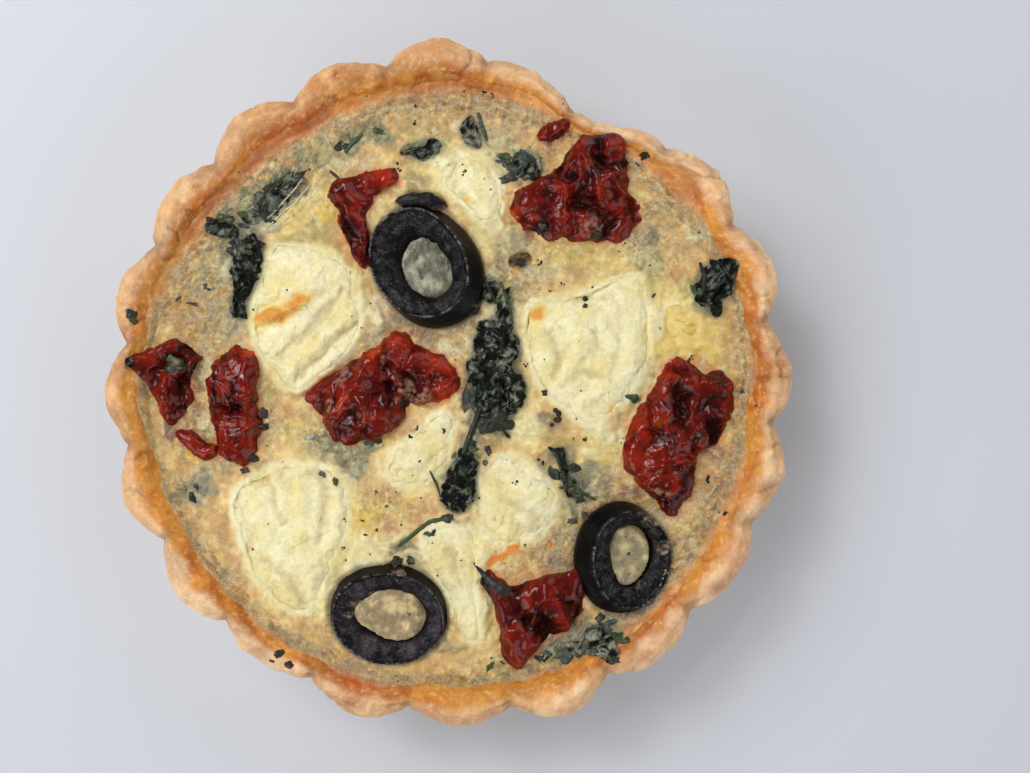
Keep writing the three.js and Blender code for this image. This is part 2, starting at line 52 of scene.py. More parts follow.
# ------------------------------------------------------------------ picture to part
PIXEL = 0.1552                  # millimetres a photograph pixel covers at custard level
AXIS_PIXEL = (448.0, 383.0)     # the case's axis in the photograph
PART_SHIFT = (-0.018, -0.117)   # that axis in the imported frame
CAMERA_PLACE = (10.38, -0.58, 193.5)
CAMERA_LENS = 38.3
CUSTARD_LEVEL = 23.2
CUSTARD_REACH = 46.5            # radius inside which the custard is sure to be


def at(px, py):
    """Where a point of the custard's surface lies, from its pixel."""
    return ((px - AXIS_PIXEL[0]) * PIXEL + PART_SHIFT[0],
            (AXIS_PIXEL[1] - py) * PIXEL + PART_SHIFT[1])


def linear(red, green, blue):
    """An sRGB colour of 0 to 255 as linear values."""
    c = np.array([red, green, blue], float) / 255
    return np.where(c <= 0.04045, c / 12.92, ((c + 0.055) / 1.055) ** 2.4)


# ------------------------------------------------------------------ noise
_rng = np.random.default_rng(11)
GRADIENTS = _rng.normal(size=(256, 3))
GRADIENTS /= np.linalg.norm(GRADIENTS, axis=1)[:, None]
ORDER = _rng.permutation(256)


def noise(points, size, seed=0):
    """Gradient noise of about -1 to 1 with features of the given size."""
    p = points / size + seed * 17.31
    cell = np.floor(p).astype(np.int64)
    f = p - cell
    w = f * f * f * (f * (f * 6 - 15) + 10)
    total = np.zeros(len(p))
    for dx in (0, 1):
        hx = ORDER[(cell[:, 0] + dx) & 255]
        wx = w[:, 0] if dx else 1 - w[:, 0]
        for dy in (0, 1):
            hy = ORDER[(hx + cell[:, 1] + dy) & 255]
            wy = w[:, 1] if dy else 1 - w[:, 1]
            for dz in (0, 1):
                g = GRADIENTS[ORDER[(hy + cell[:, 2] + dz) & 255]]
                wz = w[:, 2] if dz else 1 - w[:, 2]
                d = (f[:, 0] - dx) * g[:, 0] + (f[:, 1] - dy) * g[:, 1] + (f[:, 2] - dz) * g[:, 2]
                total += wx * wy * wz * d
    return total * 1.7


def layered(shape, points, size, octaves, seed, step, gain=0.5):
    """A shape of the noise, summed over octaves of half the size each."""
    total, share, norm = 0.0, 1.0, 0.0
    for k in range(octaves):
        total = total + share * shape(noise(points, size / 2 ** k, seed + step * k))
        norm += share
        share *= gain
    return total / norm


def fbm(points, size, octaves=3, seed=0):
    """Cloudy noise of about -1 to 1."""
    return layered(lambda wave: wave, points, size, octaves, seed, 3.7)


def ridges(points, size, octaves=3, seed=0):
    """Sharp crests, 1 on a crest and 0 between them."""
    return layered(lambda wave: (1 - np.abs(wave)) ** 2, points, size, octaves, seed, 5.3)


def creased(points, size, seed=0, octaves=2, gain=0.5):
    """Folded sheet: straight flanks that meet in sharp creases, about -1 to 1."""
    return layered(lambda wave: 1 - 3.2 * np.abs(wave), points, size, octaves, seed, 4.9, gain)


def sideways(points, size, octaves, seed):
    """Two noises side by side, for x and y."""
    return np.column_stack([fbm(points, size, octaves, seed), fbm(points, size, octaves, seed + 2)])


def warped(points, size, reach, seed=0):
    """The points moved about by noise."""
    moved = points.copy()
    for k in range(3):
        moved[:, k] += reach * noise(points, size, seed + 9.1 * k)
    return moved


def flat_points(x, y):
    return np.column_stack([x, y, np.zeros_like(x)])


def cells(points, size, seed=0):
    """Distance from each point to the nearest of a jittered set, and that one's own number."""
    p = points / size
    base = np.floor(p).astype(np.int64)
    nearest = np.full(len(p), 9.0)
    owner = np.zeros(len(p))
    for dx in (-1, 0, 1):
        for dy in (-1, 0, 1):
            for dz in (-1, 0, 1):
                c = base + (dx, dy, dz)
                h = ORDER[(ORDER[(ORDER[(c[:, 0] + seed) & 255] + c[:, 1]) & 255] + c[:, 2]) & 255]
                jitter = GRADIENTS[h] * 0.4 + 0.5
                d = np.linalg.norm(c + jitter - p, axis=1)
                closer = d < nearest
                nearest = np.where(closer, d, nearest)
                owner = np.where(closer, h / 255, owner)
    return nearest, owner


def domes(reach, size):
    """Round humps of 1 where the distance to a cell's point is 0, and 0 beyond the size."""
    return np.clip(1 - (reach / size) ** 2, 0, 1)


def smooth(low, high, value):
    """0 below low, 1 above high and a soft step between them, which may also fall."""
    t = np.clip((value - low) / (high - low), 0, 1)
    return t * t * (3 - 2 * t)


def mix(first, second, share):
    """Blend of two colours or colour arrays by an array of shares."""
    share = np.asarray(share)[..., None]
    return first * (1 - share) + second * share


def bump(angle, middle, width):
    """1 at an angle and less away from it, in degrees."""
    apart = (angle - middle + 180) % 360 - 180
    return np.exp(-((apart / width) ** 2))


def spots(x, y, table, seed=0, wander=0.7):
    """Soft irregular blots, the strongest of those that overlap: rows of pixel x and y, half
    width and half height in pixels, turn in degrees, strength."""
    flat = warped(flat_points(x, y), 2.4, wander, seed)
    total = np.zeros(len(x))
    for row in table:
        total = np.maximum(total, row[5] * spot(flat, *row[:5]))
    return total


def spot(flat, px, py, wide, high, turn):
    """One soft ellipse, 1 in its middle."""
    cx, cy = at(px, py)
    a = math.radians(turn)
    u = (flat[:, 0] - cx) * math.cos(a) + (flat[:, 1] - cy) * math.sin(a)
    v = -(flat[:, 0] - cx) * math.sin(a) + (flat[:, 1] - cy) * math.cos(a)
    d = (u / (wide * PIXEL)) ** 2 + (v / (high * PIXEL)) ** 2
    return np.exp(-0.9 * np.minimum(d, 20))


def strokes(x, y, table, seed=0, wander=0.35):
    """Soft lines that add up: rows of a run of pixels, half width in pixels, strength."""
    flat = warped(flat_points(x, y), 1.8, wander, seed)[:, :2]
    total = np.zeros(len(x))
    for run, width, strength in table:
        knots = np.array([at(*p) for p in run])
        reach = 3 * width * PIXEL
        inside = (flat > knots.min(0) - reach) & (flat < knots.max(0) + reach)
        near = np.flatnonzero(inside.all(1))
        if not len(near):
            continue
        q = flat[near]
        d = np.full(len(q), 99.0)
        for a, b in zip(knots[:-1], knots[1:]):
            t = np.clip((q - a) @ (b - a) / ((b - a) @ (b - a)), 0, 1)
            d = np.minimum(d, np.linalg.norm(q - a - t[:, None] * (b - a), axis=1))
        total[near] += strength * np.exp(-(d / (width * PIXEL)) ** 2)
    return total


# ------------------------------------------------------------------ meshes
def make_object(name, points, quads=None, triangles=None):
    """A mesh object in metres from arrays of points in millimetres and faces."""
    faces = [f for f in (quads, triangles) if f is not None and len(f)]
    mesh = bpy.data.meshes.new(name)
    mesh.vertices.add(len(points))
    mesh.vertices.foreach_set("co", (points * MM).astype(np.float32).ravel())
    corners = np.concatenate([f.ravel() for f in faces]).astype(np.int32)
    sizes = np.concatenate([np.full(len(f), f.shape[1]) for f in faces])
    mesh.loops.add(len(corners))
    mesh.loops.foreach_set("vertex_index", corners)
    mesh.polygons.add(len(sizes))
    starts = np.concatenate([[0], np.cumsum(sizes)[:-1]]).astype(np.int32)
    mesh.polygons.foreach_set("loop_start", starts)
    mesh.update(calc_edges=True)
    mesh.validate()
    mesh.shade_smooth()
    obj = bpy.data.objects.new(name, mesh)
    bpy.context.scene.collection.objects.link(obj)
    return obj


def read_out(rows, key):
    values = np.empty(len(rows) * 3, np.float32)
    rows.foreach_get(key, values)
    return values.reshape(-1, 3).astype(float)


def points_of(obj):
    return read_out(obj.data.vertices, "co") / MM


def normals_of(obj):
    return read_out(obj.data.vertex_normals, "vector")


def move_points(obj, points):
    obj.data.vertices.foreach_set("co", (points * MM).astype(np.float32).ravel())
    obj.data.update()


def paint(obj, tone, **values):
    """Keeps a colour and any number of single values at each vertex."""
    layer = obj.data.color_attributes.new("tone", "FLOAT_COLOR", "POINT")
    rgba = np.ones((len(tone), 4), np.float32)
    rgba[:, :3] = np.clip(tone, 0.0005, 1)
    layer.data.foreach_set("color", rgba.ravel())
    for name, value in values.items():
        layer = obj.data.attributes.new(name, "FLOAT", "POINT")
        layer.data.foreach_set("value", np.asarray(value, np.float32))


def ring_faces(rows, columns):
    """Quads between rows of points that close on themselves."""
    i = np.arange(rows - 1)[:, None]
    j = np.arange(columns)[None, :]
    k = (j + 1) % columns
    return np.stack([i * columns + j, i * columns + k, (i + 1) * columns + k,
                     (i + 1) * columns + j], -1).reshape(-1, 4)


def tree_of(objects):
    """A ray tree of several objects in millimetres, with the object of every face."""
    points, faces, owner, start = [], [], [], 0
    for number, obj in enumerate(objects):
        own = points_of(obj)
        points.append(own)
        polygons = [tuple(v + start for v in p.vertices) for p in obj.data.polygons]
        faces += polygons
        owner += [number] * len(polygons)
        start += len(own)
    return BVHTree.FromPolygons(np.vstack(points).tolist(), faces), owner


# ------------------------------------------------------------------ maps seen from above
REACH = 56.0            # the maps' half width
CELL = 0.25
ABOVE, BELOW = 60.0, -1.0   # where their rays start
LINE = np.arange(-REACH, REACH + CELL / 2, CELL)
GRID_X, GRID_Y = np.meshgrid(LINE, LINE)


def height_map(objects, upward=False):
    """Height and object number of the first surface met from above or from below."""
    tree, owner = tree_of(objects)
    height = np.full(GRID_X.size, BELOW)
    number = np.full(GRID_X.size, -1)
    start = BELOW if upward else ABOVE
    way = (0, 0, 1.0 if upward else -1.0)
    for i, (x, y) in enumerate(zip(GRID_X.ravel().tolist(), GRID_Y.ravel().tolist())):
        if x * x + y * y > REACH * REACH:
            continue
        place, _, face, _ = tree.ray_cast((x, y, start), way)
        if place is not None:
            height[i] = place[2]
            number[i] = owner[face]
    return height.reshape(GRID_X.shape), number.reshape(GRID_X.shape)


def blur(grid, width):
    """Gaussian blur of a map; width in millimetres."""
    fx = np.fft.rfftfreq(grid.shape[1], CELL)
    fy = np.fft.fftfreq(grid.shape[0], CELL)
    keep = np.exp(-2 * (math.pi * width) ** 2 * (fx[None, :] ** 2 + fy[:, None] ** 2))
    return np.fft.irfft2(np.fft.rfft2(grid) * keep, grid.shape)


def sample(grid, x, y):
    """A map's values at any places, drawn out between its cells."""
    u = np.clip((x + REACH) / CELL, 0, len(LINE) - 1.001)
    v = np.clip((y + REACH) / CELL, 0, len(LINE) - 1.001)
    i, j = u.astype(int), v.astype(int)
    a, b = u - i, v - j
    return ((grid[j, i] * (1 - a) + grid[j, i + 1] * a) * (1 - b)
            + (grid[j + 1, i] * (1 - a) + grid[j + 1, i + 1] * a) * b)


def blur_round(rows, width):
    """Gaussian blur along the last axis, which closes on itself; width in steps."""
    f = np.fft.rfftfreq(rows.shape[-1])
    return np.fft.irfft(np.fft.rfft(rows) * np.exp(-2 * (math.pi * width * f) ** 2), rows.shape[-1])


# ------------------------------------------------------------------ materials
class Shader:
    """A node material with one Principled surface."""

    def __init__(self, name, **settings):
        self.material = bpy.data.materials.new(name)
        self.material.use_nodes = True
        self.tree = self.material.node_tree
        self.surface = self.tree.nodes["Principled BSDF"]
        for key, value in settings.items():
            self.surface.inputs[key.replace("_", " ")].default_value = value
        self.place = self.add("ShaderNodeTexCoord").outputs["Object"]

    def put(self, value, socket):
        """Links a node's output to a socket, or sets the socket to a value."""
        if isinstance(value, bpy.types.NodeSocket):
            self.tree.links.new(value, socket)
        else:
            socket.default_value = value

    def add(self, kind, inputs=None, **properties):
        node = self.tree.nodes.new(kind)
        for key, value in properties.items():
            setattr(node, key, value)
        for key, value in (inputs or {}).items():
            self.put(value, node.inputs[key])
        return node

    def value(self, name):
        return self.add("ShaderNodeAttribute", attribute_name=name).outputs["Fac"]

    def tone(self):
        return self.add("ShaderNodeAttribute", attribute_name="tone").outputs["Color"]

    def noise(self, size, detail, roughness, distortion=0.0):
        return self.add("ShaderNodeTexNoise", {
            "Vector": self.place, "Scale": 1 / (size * MM), "Detail": detail,
            "Roughness": roughness, "Distortion": distortion}).outputs["Fac"]

    def remap(self, value, low, high, to_low, to_high):
        return self.add("ShaderNodeMapRange", {
            "Value": value, "From Min": low, "From Max": high,
            "To Min": to_low, "To Max": to_high}).outputs[0]

    def spread(self, value, low, high):
        """The usual range of a noise, taken to low and high."""
        return self.remap(value, 0.3, 0.7, low, high)

    def math(self, operation, first, second):
        return self.add("ShaderNodeMath", {0: first, 1: second}, operation=operation).outputs[0]

    def times(self, first, second):
        return self.math("MULTIPLY", first, second)

    def strands(self, size, width):
        """1 on thin curling lines, broken up, and 0 between them."""
        wander = self.noise(size, 4, 0.65, distortion=1.6)
        apart = self.math("ABSOLUTE", self.math("SUBTRACT", wander, 0.5), 0.0)
        line = self.remap(apart, 0.0, width, 1.0, 0.0)
        gaps = self.remap(self.noise(2.2 * size, 2, 0.5), 0.42, 0.58, 0.1, 1.0)
        return self.times(line, gaps)

    def shade(self, colour, factor):
        """The colour times a grey factor."""
        return self.add("ShaderNodeVectorMath", {0: colour, 3: factor},
                        operation="SCALE").outputs[0]

    def mix(self, share, first, second):
        return self.add("ShaderNodeMix", {0: share, 6: first, 7: second},
                        data_type="RGBA").outputs[2]

    def bumps(self, *layers, coat=True):
        """Layers of (height socket, distance in millimetres)."""
        normal = None
        for height, distance in layers:
            inputs = {"Height": height, "Distance": distance * MM, "Strength": 1.0}
            if normal is not None:
                inputs["Normal"] = normal
            normal = self.add("ShaderNodeBump", inputs).outputs[0]
        self.tree.links.new(normal, self.surface.inputs["Normal"])
        if coat:
            self.tree.links.new(normal, self.surface.inputs["Coat Normal"])

    def link(self, value, socket):
        self.tree.links.new(value, self.surface.inputs[socket])


def dress(obj, shader, slot, *nodes):
    """The last steps for every piece: material, what it replaces and body. The slot is not used."""
    obj.data.materials.clear()
    obj.data.materials.append(shader.material)
    if nodes:
        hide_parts(*nodes)
    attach(obj, "root")
    return obj


# ------------------------------------------------------------------ pastry case
ANGLES = 900
FLUTES, FIRST_FLUTE = 20, 2.0
OFF_EDGE = 0.37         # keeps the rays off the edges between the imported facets
OUTSIDE = 80            # radius the rays from outside start at
LIP_DROP = 3.4          # the lip's rays start this far under its crest
WALL_TOP = 21.5         # where the wall ends and the lip begins
RIM_RADIUS = 48.0
BASE_ROWS = 26          # rings of points under the case
DISH_RADIUS, DISH_LEVEL = 38.4, 4.0     # the floor inside
CASE_RAYS = BVHTree.FromObject(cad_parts["crust"], bpy.context.evaluated_depsgraph_get())

# where the custard gives way to the baked slope of the case: angle, radius in pixels
CUSTARD_EDGE = [
    (0, 300), (20, 306), (38, 294), (52, 291), (60, 280), (66, 280), (74, 288), (90, 289),
    (110, 285), (130, 284), (146, 287), (160, 296), (174, 307), (190, 306), (215, 301), (240, 302),
    (260, 303), (300, 301), (330, 299), (345, 300)]
# browner stretches of the lobes: angle, width, strength
CASE_BROWNER = [(108, 30, 1.0), (0, 14, 0.35), (265, 14, 0.45), (180, 24, 0.8)]
# browning of the slope inside them: angle, width, strength
CASE_BROWNING = [
    (88, 16, 0.8), (122, 14, 1.0), (143, 12, 0.9), (205, 30, 0.3), (228, 20, 0.7), (252, 14, 1.0),
    (305, 16, 0.6), (338, 18, 0.35), (5, 14, 0.9), (40, 14, 0.6)]
# reddish, glossy stretches: angle, width, from and to across the slope, strength
CASE_RED = [
    (252, 8, 0.0, 0.75, 0.9), (243, 6, 0.5, 1.1, 0.6), (305, 7, 0.4, 0.9, 0.5),
    (340, 8, 0.2, 0.9, 0.4), (6, 6, 0.5, 1.25, 0.9), (124, 7, 0.1, 0.8, 0.8),
    (168, 4, 0.2, 0.8, 0.8), (30, 6, 0.5, 0.9, 0.4), (92, 7, 0.3, 0.9, 0.4),
    (141, 5, 0.4, 0.9, 0.5), (354, 5, 0.6, 1.2, 0.5), (318, 5, 0.2, 0.6, 0.6)]


def case_ray(x, y, z, dx, dy, dz):
    """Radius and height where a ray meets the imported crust."""
    place = CASE_RAYS.ray_cast((x * MM, y * MM, z * MM), (dx, dy, dz))[0]
    return None if place is None else (math.hypot(place[0], place[1]) / MM, place[2] / MM)


def case_sections():
    """Radius and height along the case's section for every angle, from the base up the
    outside, over the lip and down the inside."""
    wall = np.concatenate([np.linspace(0.25, 2.0, 5), np.linspace(2.5, WALL_TOP, 42)])
    fan = np.radians(np.linspace(-14, 196, 50))
    inner = np.array([19.5, 16.5, 13, 9, 6])
    radius = np.zeros((len(wall) + len(fan) + len(inner), ANGLES))
    height = np.zeros_like(radius)
    for i in range(ANGLES):
        a = 2 * math.pi * (i + OFF_EDGE) / ANGLES
        c, s = math.cos(a), math.sin(a)
        falls = [case_ray(r * c, r * s, ABOVE, 0, 0, -1) for r in np.arange(43.5, 51.5, 0.5)]
        z = max(hit[1] for hit in falls if hit) - LIP_DROP
        far_x, far_y = OUTSIDE * c, OUTSIDE * s
        outside = case_ray(far_x, far_y, z, -c, -s, 0)[0]
        inside = case_ray(0, 0, z, c, s, 0)[0]
        middle = (outside + inside) / 2
        for k, level in enumerate(wall):
            height[k, i] = min(level, z - 0.6) * (z - 0.9) / WALL_TOP if k > 8 else level
            radius[k, i] = case_ray(far_x, far_y, height[k, i], -c, -s, 0)[0]
        for k, turn in enumerate(fan):
            out, up = math.cos(turn), math.sin(turn)
            hit = case_ray(middle * c, middle * s, z, out * c, out * s, up)
            radius[len(wall) + k, i], height[len(wall) + k, i] = hit
        for k, level in enumerate(inner):
            row = len(wall) + len(fan) + k
            height[row, i] = level
            radius[row, i] = case_ray(0, 0, level, c, s, 0)[0]
    radius, height = blur_round(radius, 2.8), blur_round(height, 2.8)
    for _ in range(3):
        for grid in (radius, height):
            grid[1:-1] = 0.25 * grid[:-2] + 0.5 * grid[1:-1] + 0.25 * grid[2:]
    return radius, height, len(wall), len(fan)


RADIUS, HEIGHT, WALL_ROWS, LIP_ROWS = case_sections()
TURNS = np.degrees(2 * np.pi * (np.arange(ANGLES) + OFF_EDGE) / ANGLES)
CREST = blur_round(RADIUS[np.argmax(HEIGHT, axis=0), np.arange(ANGLES)], 6)


def rim_share(x, y):
    """0 where the custard ends, 1 along the crest of the lip; and the angle."""
    angle = np.degrees(np.arctan2(y - PART_SHIFT[1], x - PART_SHIFT[0])) % 360
    edge = np.interp(angle, *zip(*CUSTARD_EDGE), period=360) * PIXEL
    crest = np.interp(angle, TURNS, CREST, period=360)
    reach = np.hypot(x - PART_SHIFT[0], y - PART_SHIFT[1])
    return (reach - edge) / np.maximum(crest - edge, 1.6), angle


def round_the_rim(x, y, along, across):
    """Points for noise that is stretched round the case; sizes in millimetres."""
    a, r = np.arctan2(y, x), np.hypot(x, y)
    return np.column_stack([np.cos(a) * RIM_RADIUS / along, np.sin(a) * RIM_RADIUS / along,
                            r / across])


def slope_tone(x, y, u, angle, mid):
    """Colours of the baked slope between the custard and the lobes."""
    browned = np.zeros(len(x))
    for turn, width, strength in CASE_BROWNING:
        browned = np.maximum(browned, strength * bump(angle, turn, width))
    glow = np.zeros(len(x))
    for turn, width, low, high, strength in CASE_RED:
        band = smooth(low - 0.15, low + 0.15, u) * (1 - smooth(high - 0.15, high + 0.15, u))
        glow = np.maximum(glow, strength * band * bump(angle, turn, width))
    streak_and_sheen = fbm(round_the_rim(x, y, 3.2, 0.55), 1, 2, 34)
    tone = mix(linear(222, 150, 60), linear(204, 120, 34), smooth(-0.4, 0.4, mid + browned - 0.4))
    tone = mix(tone, linear(182, 98, 24), 0.85 * smooth(0.35, 0.95, browned + 0.5 * mid))
    tone = mix(tone, linear(206, 100, 36), np.clip(0.9 * glow * smooth(-0.4, 0.4, mid), 0, 1))
    film = fbm(round_the_rim(x, y, 3.6, 1.6), 1, 3, 37)
    film = smooth(0.0, 0.5, film + 0.3 * streak_and_sheen - 0.6 * (u - 0.2))
    tone = mix(tone, linear(226, 170, 92), 0.32 * film)
    # pale streaks round the slope: dried film, and painted highlight
    tone = mix(tone, linear(244, 206, 146), 0.25 * smooth(0.25, 0.6, streak_and_sheen))
    return tone, np.clip(0.55 + 0.45 * browned + 0.4 * glow, 0, 1)


def unit(vectors):
    """Vectors of length 1."""
    return vectors / np.maximum(np.linalg.norm(vectors, axis=-1), 1e-9)[..., None]


def build_case():
    """The crust: rings of points from under the base, up the outside and down the inside."""
    under = np.linspace(0.03, 0.985, BASE_ROWS)
    floor = np.array([0.97, 0.8, 0.5, 0.2])
    inner = floor[:, None] * DISH_RADIUS + 0 * RADIUS[:1]
    radius = np.vstack([under[:, None] * RADIUS[0], RADIUS, inner])
    height = np.vstack([np.zeros((BASE_ROWS, ANGLES)), HEIGHT, 0 * inner + DISH_LEVEL])
    rows = len(radius)
    a = np.radians(TURNS)[None, :]
    grid = np.stack([radius * np.cos(a), radius * np.sin(a), height], -1)
    points = grid.reshape(-1, 3)
    normal = np.cross(np.roll(grid, -1, 1) - np.roll(grid, 1, 1), np.gradient(grid, axis=0))
    normal = unit(normal).reshape(-1, 3)

    theta = np.broadcast_to(TURNS, (rows, ANGLES)).ravel()
    row = np.repeat(np.arange(rows), ANGLES)
    lip_start = BASE_ROWS + WALL_ROWS
    lip_end = lip_start + LIP_ROWS
    across = np.clip((row - lip_start) / (LIP_ROWS - 1.0), 0, 1)      # 0 outside, 1 at the custard
    on_lip = smooth(lip_start - 12, lip_start + 2, row) * (1 - smooth(lip_end - 4, lip_end, row))
    on_wall = smooth(BASE_ROWS - 1, BASE_ROWS + 1, row) * (1 - on_lip)
    visible = smooth(BASE_ROWS - 3, BASE_ROWS, row) * (1 - smooth(lip_end, lip_end + 2, row))
    wave = np.abs(np.cos(np.radians((theta - FIRST_FLUTE) * FLUTES / 2)))
    valley = np.exp(-(wave / 0.16) ** 2)
    outer = 1 - smooth(0.35, 0.75, across)

    warp = warped(points, 3.0, 0.8, 2)
    lumps = fbm(points, 7.5, 2, 1) * 0.45
    knobs = fbm(points, 3.0, 2, 3) * 0.24
    grain = fbm(points, 0.85, 2, 4) * 0.07
    plates = smooth(0.02, 0.14, noise(warp, 3.4, 5)) * 0.20
    plates *= smooth(-0.3, 0.3, fbm(points, 9, 1, 6))
    reach, kind = cells(points, 1.5, 7)
    pits = -0.30 * domes(reach, 0.34) * (kind > 0.70)
    reach, kind = cells(points, 2.6, 9)
    blisters = 0.28 * domes(reach, 0.42) * (kind > 0.72)
    puff = (0.42 * (wave ** 0.6 - 0.6) - 0.55 * valley) * outer * on_lip
    cracks = -0.45 * smooth(0.88, 0.985, ridges(warp, 8.5, 1, 14))
    cracks *= smooth(0.0, 0.35, fbm(points, 10, 1, 15))
    crumb = np.abs(noise(points, 1.3, 21)) * 0.22 - 0.07
    crumb *= smooth(-0.2, 0.4, fbm(points, 9, 2, 22))
    relief = lumps * (0.35 + 0.65 * on_lip) + knobs * (0.45 + 0.75 * on_lip) + grain
    relief += crumb * on_lip
    relief += plates * on_lip + pits * (0.6 + 0.4 * on_wall) + blisters + puff + cracks * on_lip
    relief *= visible * np.where(row < BASE_ROWS + 3, 0.4, 1)
    relief *= 1 - 0.5 * smooth(0.62, 0.8, across)
    relief += 0.5 * strokes(points[:, 0], points[:, 1], CASE_CUTS, 17) * on_lip
    points = points + normal * relief[:, None]
    base = row < BASE_ROWS
    uneven = 0.10 * smooth(0.0, 0.6, fbm(points[base], 4, 2, 20))
    points[base, 2] = uneven * smooth(1, 4, BASE_ROWS - row[base])
    points[:, 2] = np.maximum(points[:, 2], 0)

    # one point closes the underside and one the floor
    count = len(points)
    last = count - ANGLES
    j = np.arange(ANGLES)
    k = (j + 1) % ANGLES
    lids = np.vstack([np.stack([np.full(ANGLES, count), k, j], 1),
                      np.stack([np.full(ANGLES, count + 1), last + j, last + k], 1)])
    points = np.vstack([points, [[0, 0, 0.0], [0, 0, DISH_LEVEL]]])
    crust = make_object("baked_crust", points, ring_faces(rows, ANGLES), lids)

    theta, across, on_lip, on_wall, valley, relief, row = (
        np.append(v, [v[0], v[-1]])
        for v in (theta, across, on_lip, on_wall, valley, relief, row))
    x, y = points[:, 0], points[:, 1]
    u, angle = rim_share(x, y)
    low, mid, fine = fbm(points, 11, 2, 31), fbm(points, 3.2, 3, 32), fbm(points, 0.9, 2, 33)
    pale, tan, peach = linear(246, 208, 162), linear(234, 184, 130), linear(226, 172, 134)
    tone = mix(tan, pale, smooth(-0.35, 0.35, mid + 0.5 * low))
    tone = mix(tone, peach, 0.8 * smooth(-0.1, 0.5, fbm(points, 5, 2, 35)) * (1 - valley))
    browner = sum(strength * bump(theta, turn, width) for turn, width, strength in CASE_BROWNER)
    tone = mix(tone, linear(200, 136, 78), np.clip(browner, 0, 1) * smooth(-0.5, 0.3, mid))
    tone = mix(tone, linear(214, 148, 84), 0.4 * smooth(0.05, 0.5, low - 0.3 * mid) * on_lip)
    tone = mix(tone, pale, 0.65 * bump(theta, 228, 18) * on_lip)
    outer = 1 - smooth(0.3, 0.6, across)
    # painted shade: darker down each valley between the lobes
    tone = mix(tone, linear(196, 134, 78), 0.45 * valley * on_lip * outer)
    tone = mix(tone, pale, 0.5 * np.exp(-((across - 0.04) / 0.08) ** 2) * on_lip)
    slope, wet = slope_tone(x, y, u, angle, mid)
    share = (1 - smooth(0.52, 0.98, u + 0.30 * mid + 0.15 * low)) * on_lip * (across > 0.3)
    tone = mix(tone, slope, share)
    scorched = np.clip(spots(x, y, CASE_SPOTS, 36, 0.4), 0, 1) * on_lip
    tone = mix(tone, linear(150, 74, 30), scorched)
    cloud = smooth(-0.3, 0.4, mid + 0.6 * low)
    wall_tone = mix(linear(226, 182, 126), linear(203, 150, 96), cloud)
    wall_tone = mix(wall_tone, linear(188, 130, 78), 0.5 * smooth(0.0, 0.5, low))
    tone = mix(tone, wall_tone, on_wall * (across <= 0.001))
    tone = mix(tone, linear(196, 143, 92), (row < BASE_ROWS) * 0.6)
    speckle = fbm(points, 0.5, 2, 38)
    tone = mix(tone, linear(255, 226, 186), 0.28 * smooth(0.15, 0.5, speckle + 0.4 * fine) * on_lip)
    dark = 0.3 * smooth(0.2, 0.55, -speckle + 0.4 * low) * (0.6 * on_lip + 0.5 * on_wall)
    tone = mix(tone, linear(186, 118, 62), dark)
    # random grain, and painted shade and light: darker where the relief sinks, lighter where it
    # rises
    tone = tone * (1 + 0.10 * fine + 0.5 * np.clip(relief, -0.4, 0.3))[:, None]
    paint(crust, tone, gloss=np.clip(0.22 + 0.15 * mid + 0.7 * share * wet, 0, 1))
    return crust


# nicks and cracks in the lip, as rows for strokes(), and scorched spots, as rows for spots()
CASE_CUTS = [
    ([(338, 103), (345, 108)], 3, -1.2), ([(755, 378), (772, 376), (788, 378)], 1.6, -1.0),
    ([(762, 390), (776, 396)], 1.3, -0.7), ([(748, 300), (764, 296)], 1.3, -0.6),
    ([(757, 310), (770, 318)], 1.2, -0.5), ([(742, 470), (760, 462)], 1.5, -0.6),
    ([(228, 610), (236, 618)], 1.5, -0.6), ([(600, 684), (604, 696)], 1.6, -0.6)]
CASE_SPOTS = [
    (383, 103, 10, 5, 0, 0.45), (205, 182, 10, 7, 45, 0.4), (777, 366, 5, 12, 0, 0.6),
    (768, 349, 7, 5, 0, 0.5), (643, 649, 9, 7, 0, 0.5), (710, 583, 8, 7, 0, 0.5),
    (351, 698, 12, 8, 0, 0.8), (335, 690, 9, 6, 30, 0.6), (264, 649, 10, 7, 45, 0.5),
    (761, 487, 9, 9, 0, 0.6), (145, 313, 8, 14, 10, 0.4), (338, 80, 4, 4, 0, 0.9),
    (146, 290, 9, 12, 0, 0.4), (330, 62, 3, 3, 0, 0.5), (757, 405, 4, 3, 0, 0.6),
    (226, 620, 3, 2, 0, 0.7), (243, 628, 5, 3, 0, 0.4)]


def crust_shader():
    s = Shader("shortcrust", Specular_IOR_Level=0.3, Subsurface_Weight=0.08,
               Subsurface_Scale=0.0012, Subsurface_Radius=(1.0, 0.55, 0.3))
    grain = s.noise(0.32, 3, 0.75)
    cloud = s.noise(1.8, 4, 0.6)
    mottling = s.times(s.spread(grain, 0.86, 1.13), s.spread(cloud, 0.91, 1.09))
    s.link(s.shade(s.tone(), mottling), "Base Color")
    rough = s.remap(s.value("gloss"), 0.0, 1.0, 0.55, 0.24)
    s.link(s.math("ADD", rough, s.spread(grain, -0.06, 0.06)), "Roughness")
    s.bumps((s.noise(1.2, 4, 0.6), 0.24), (grain, 0.11))
    return s


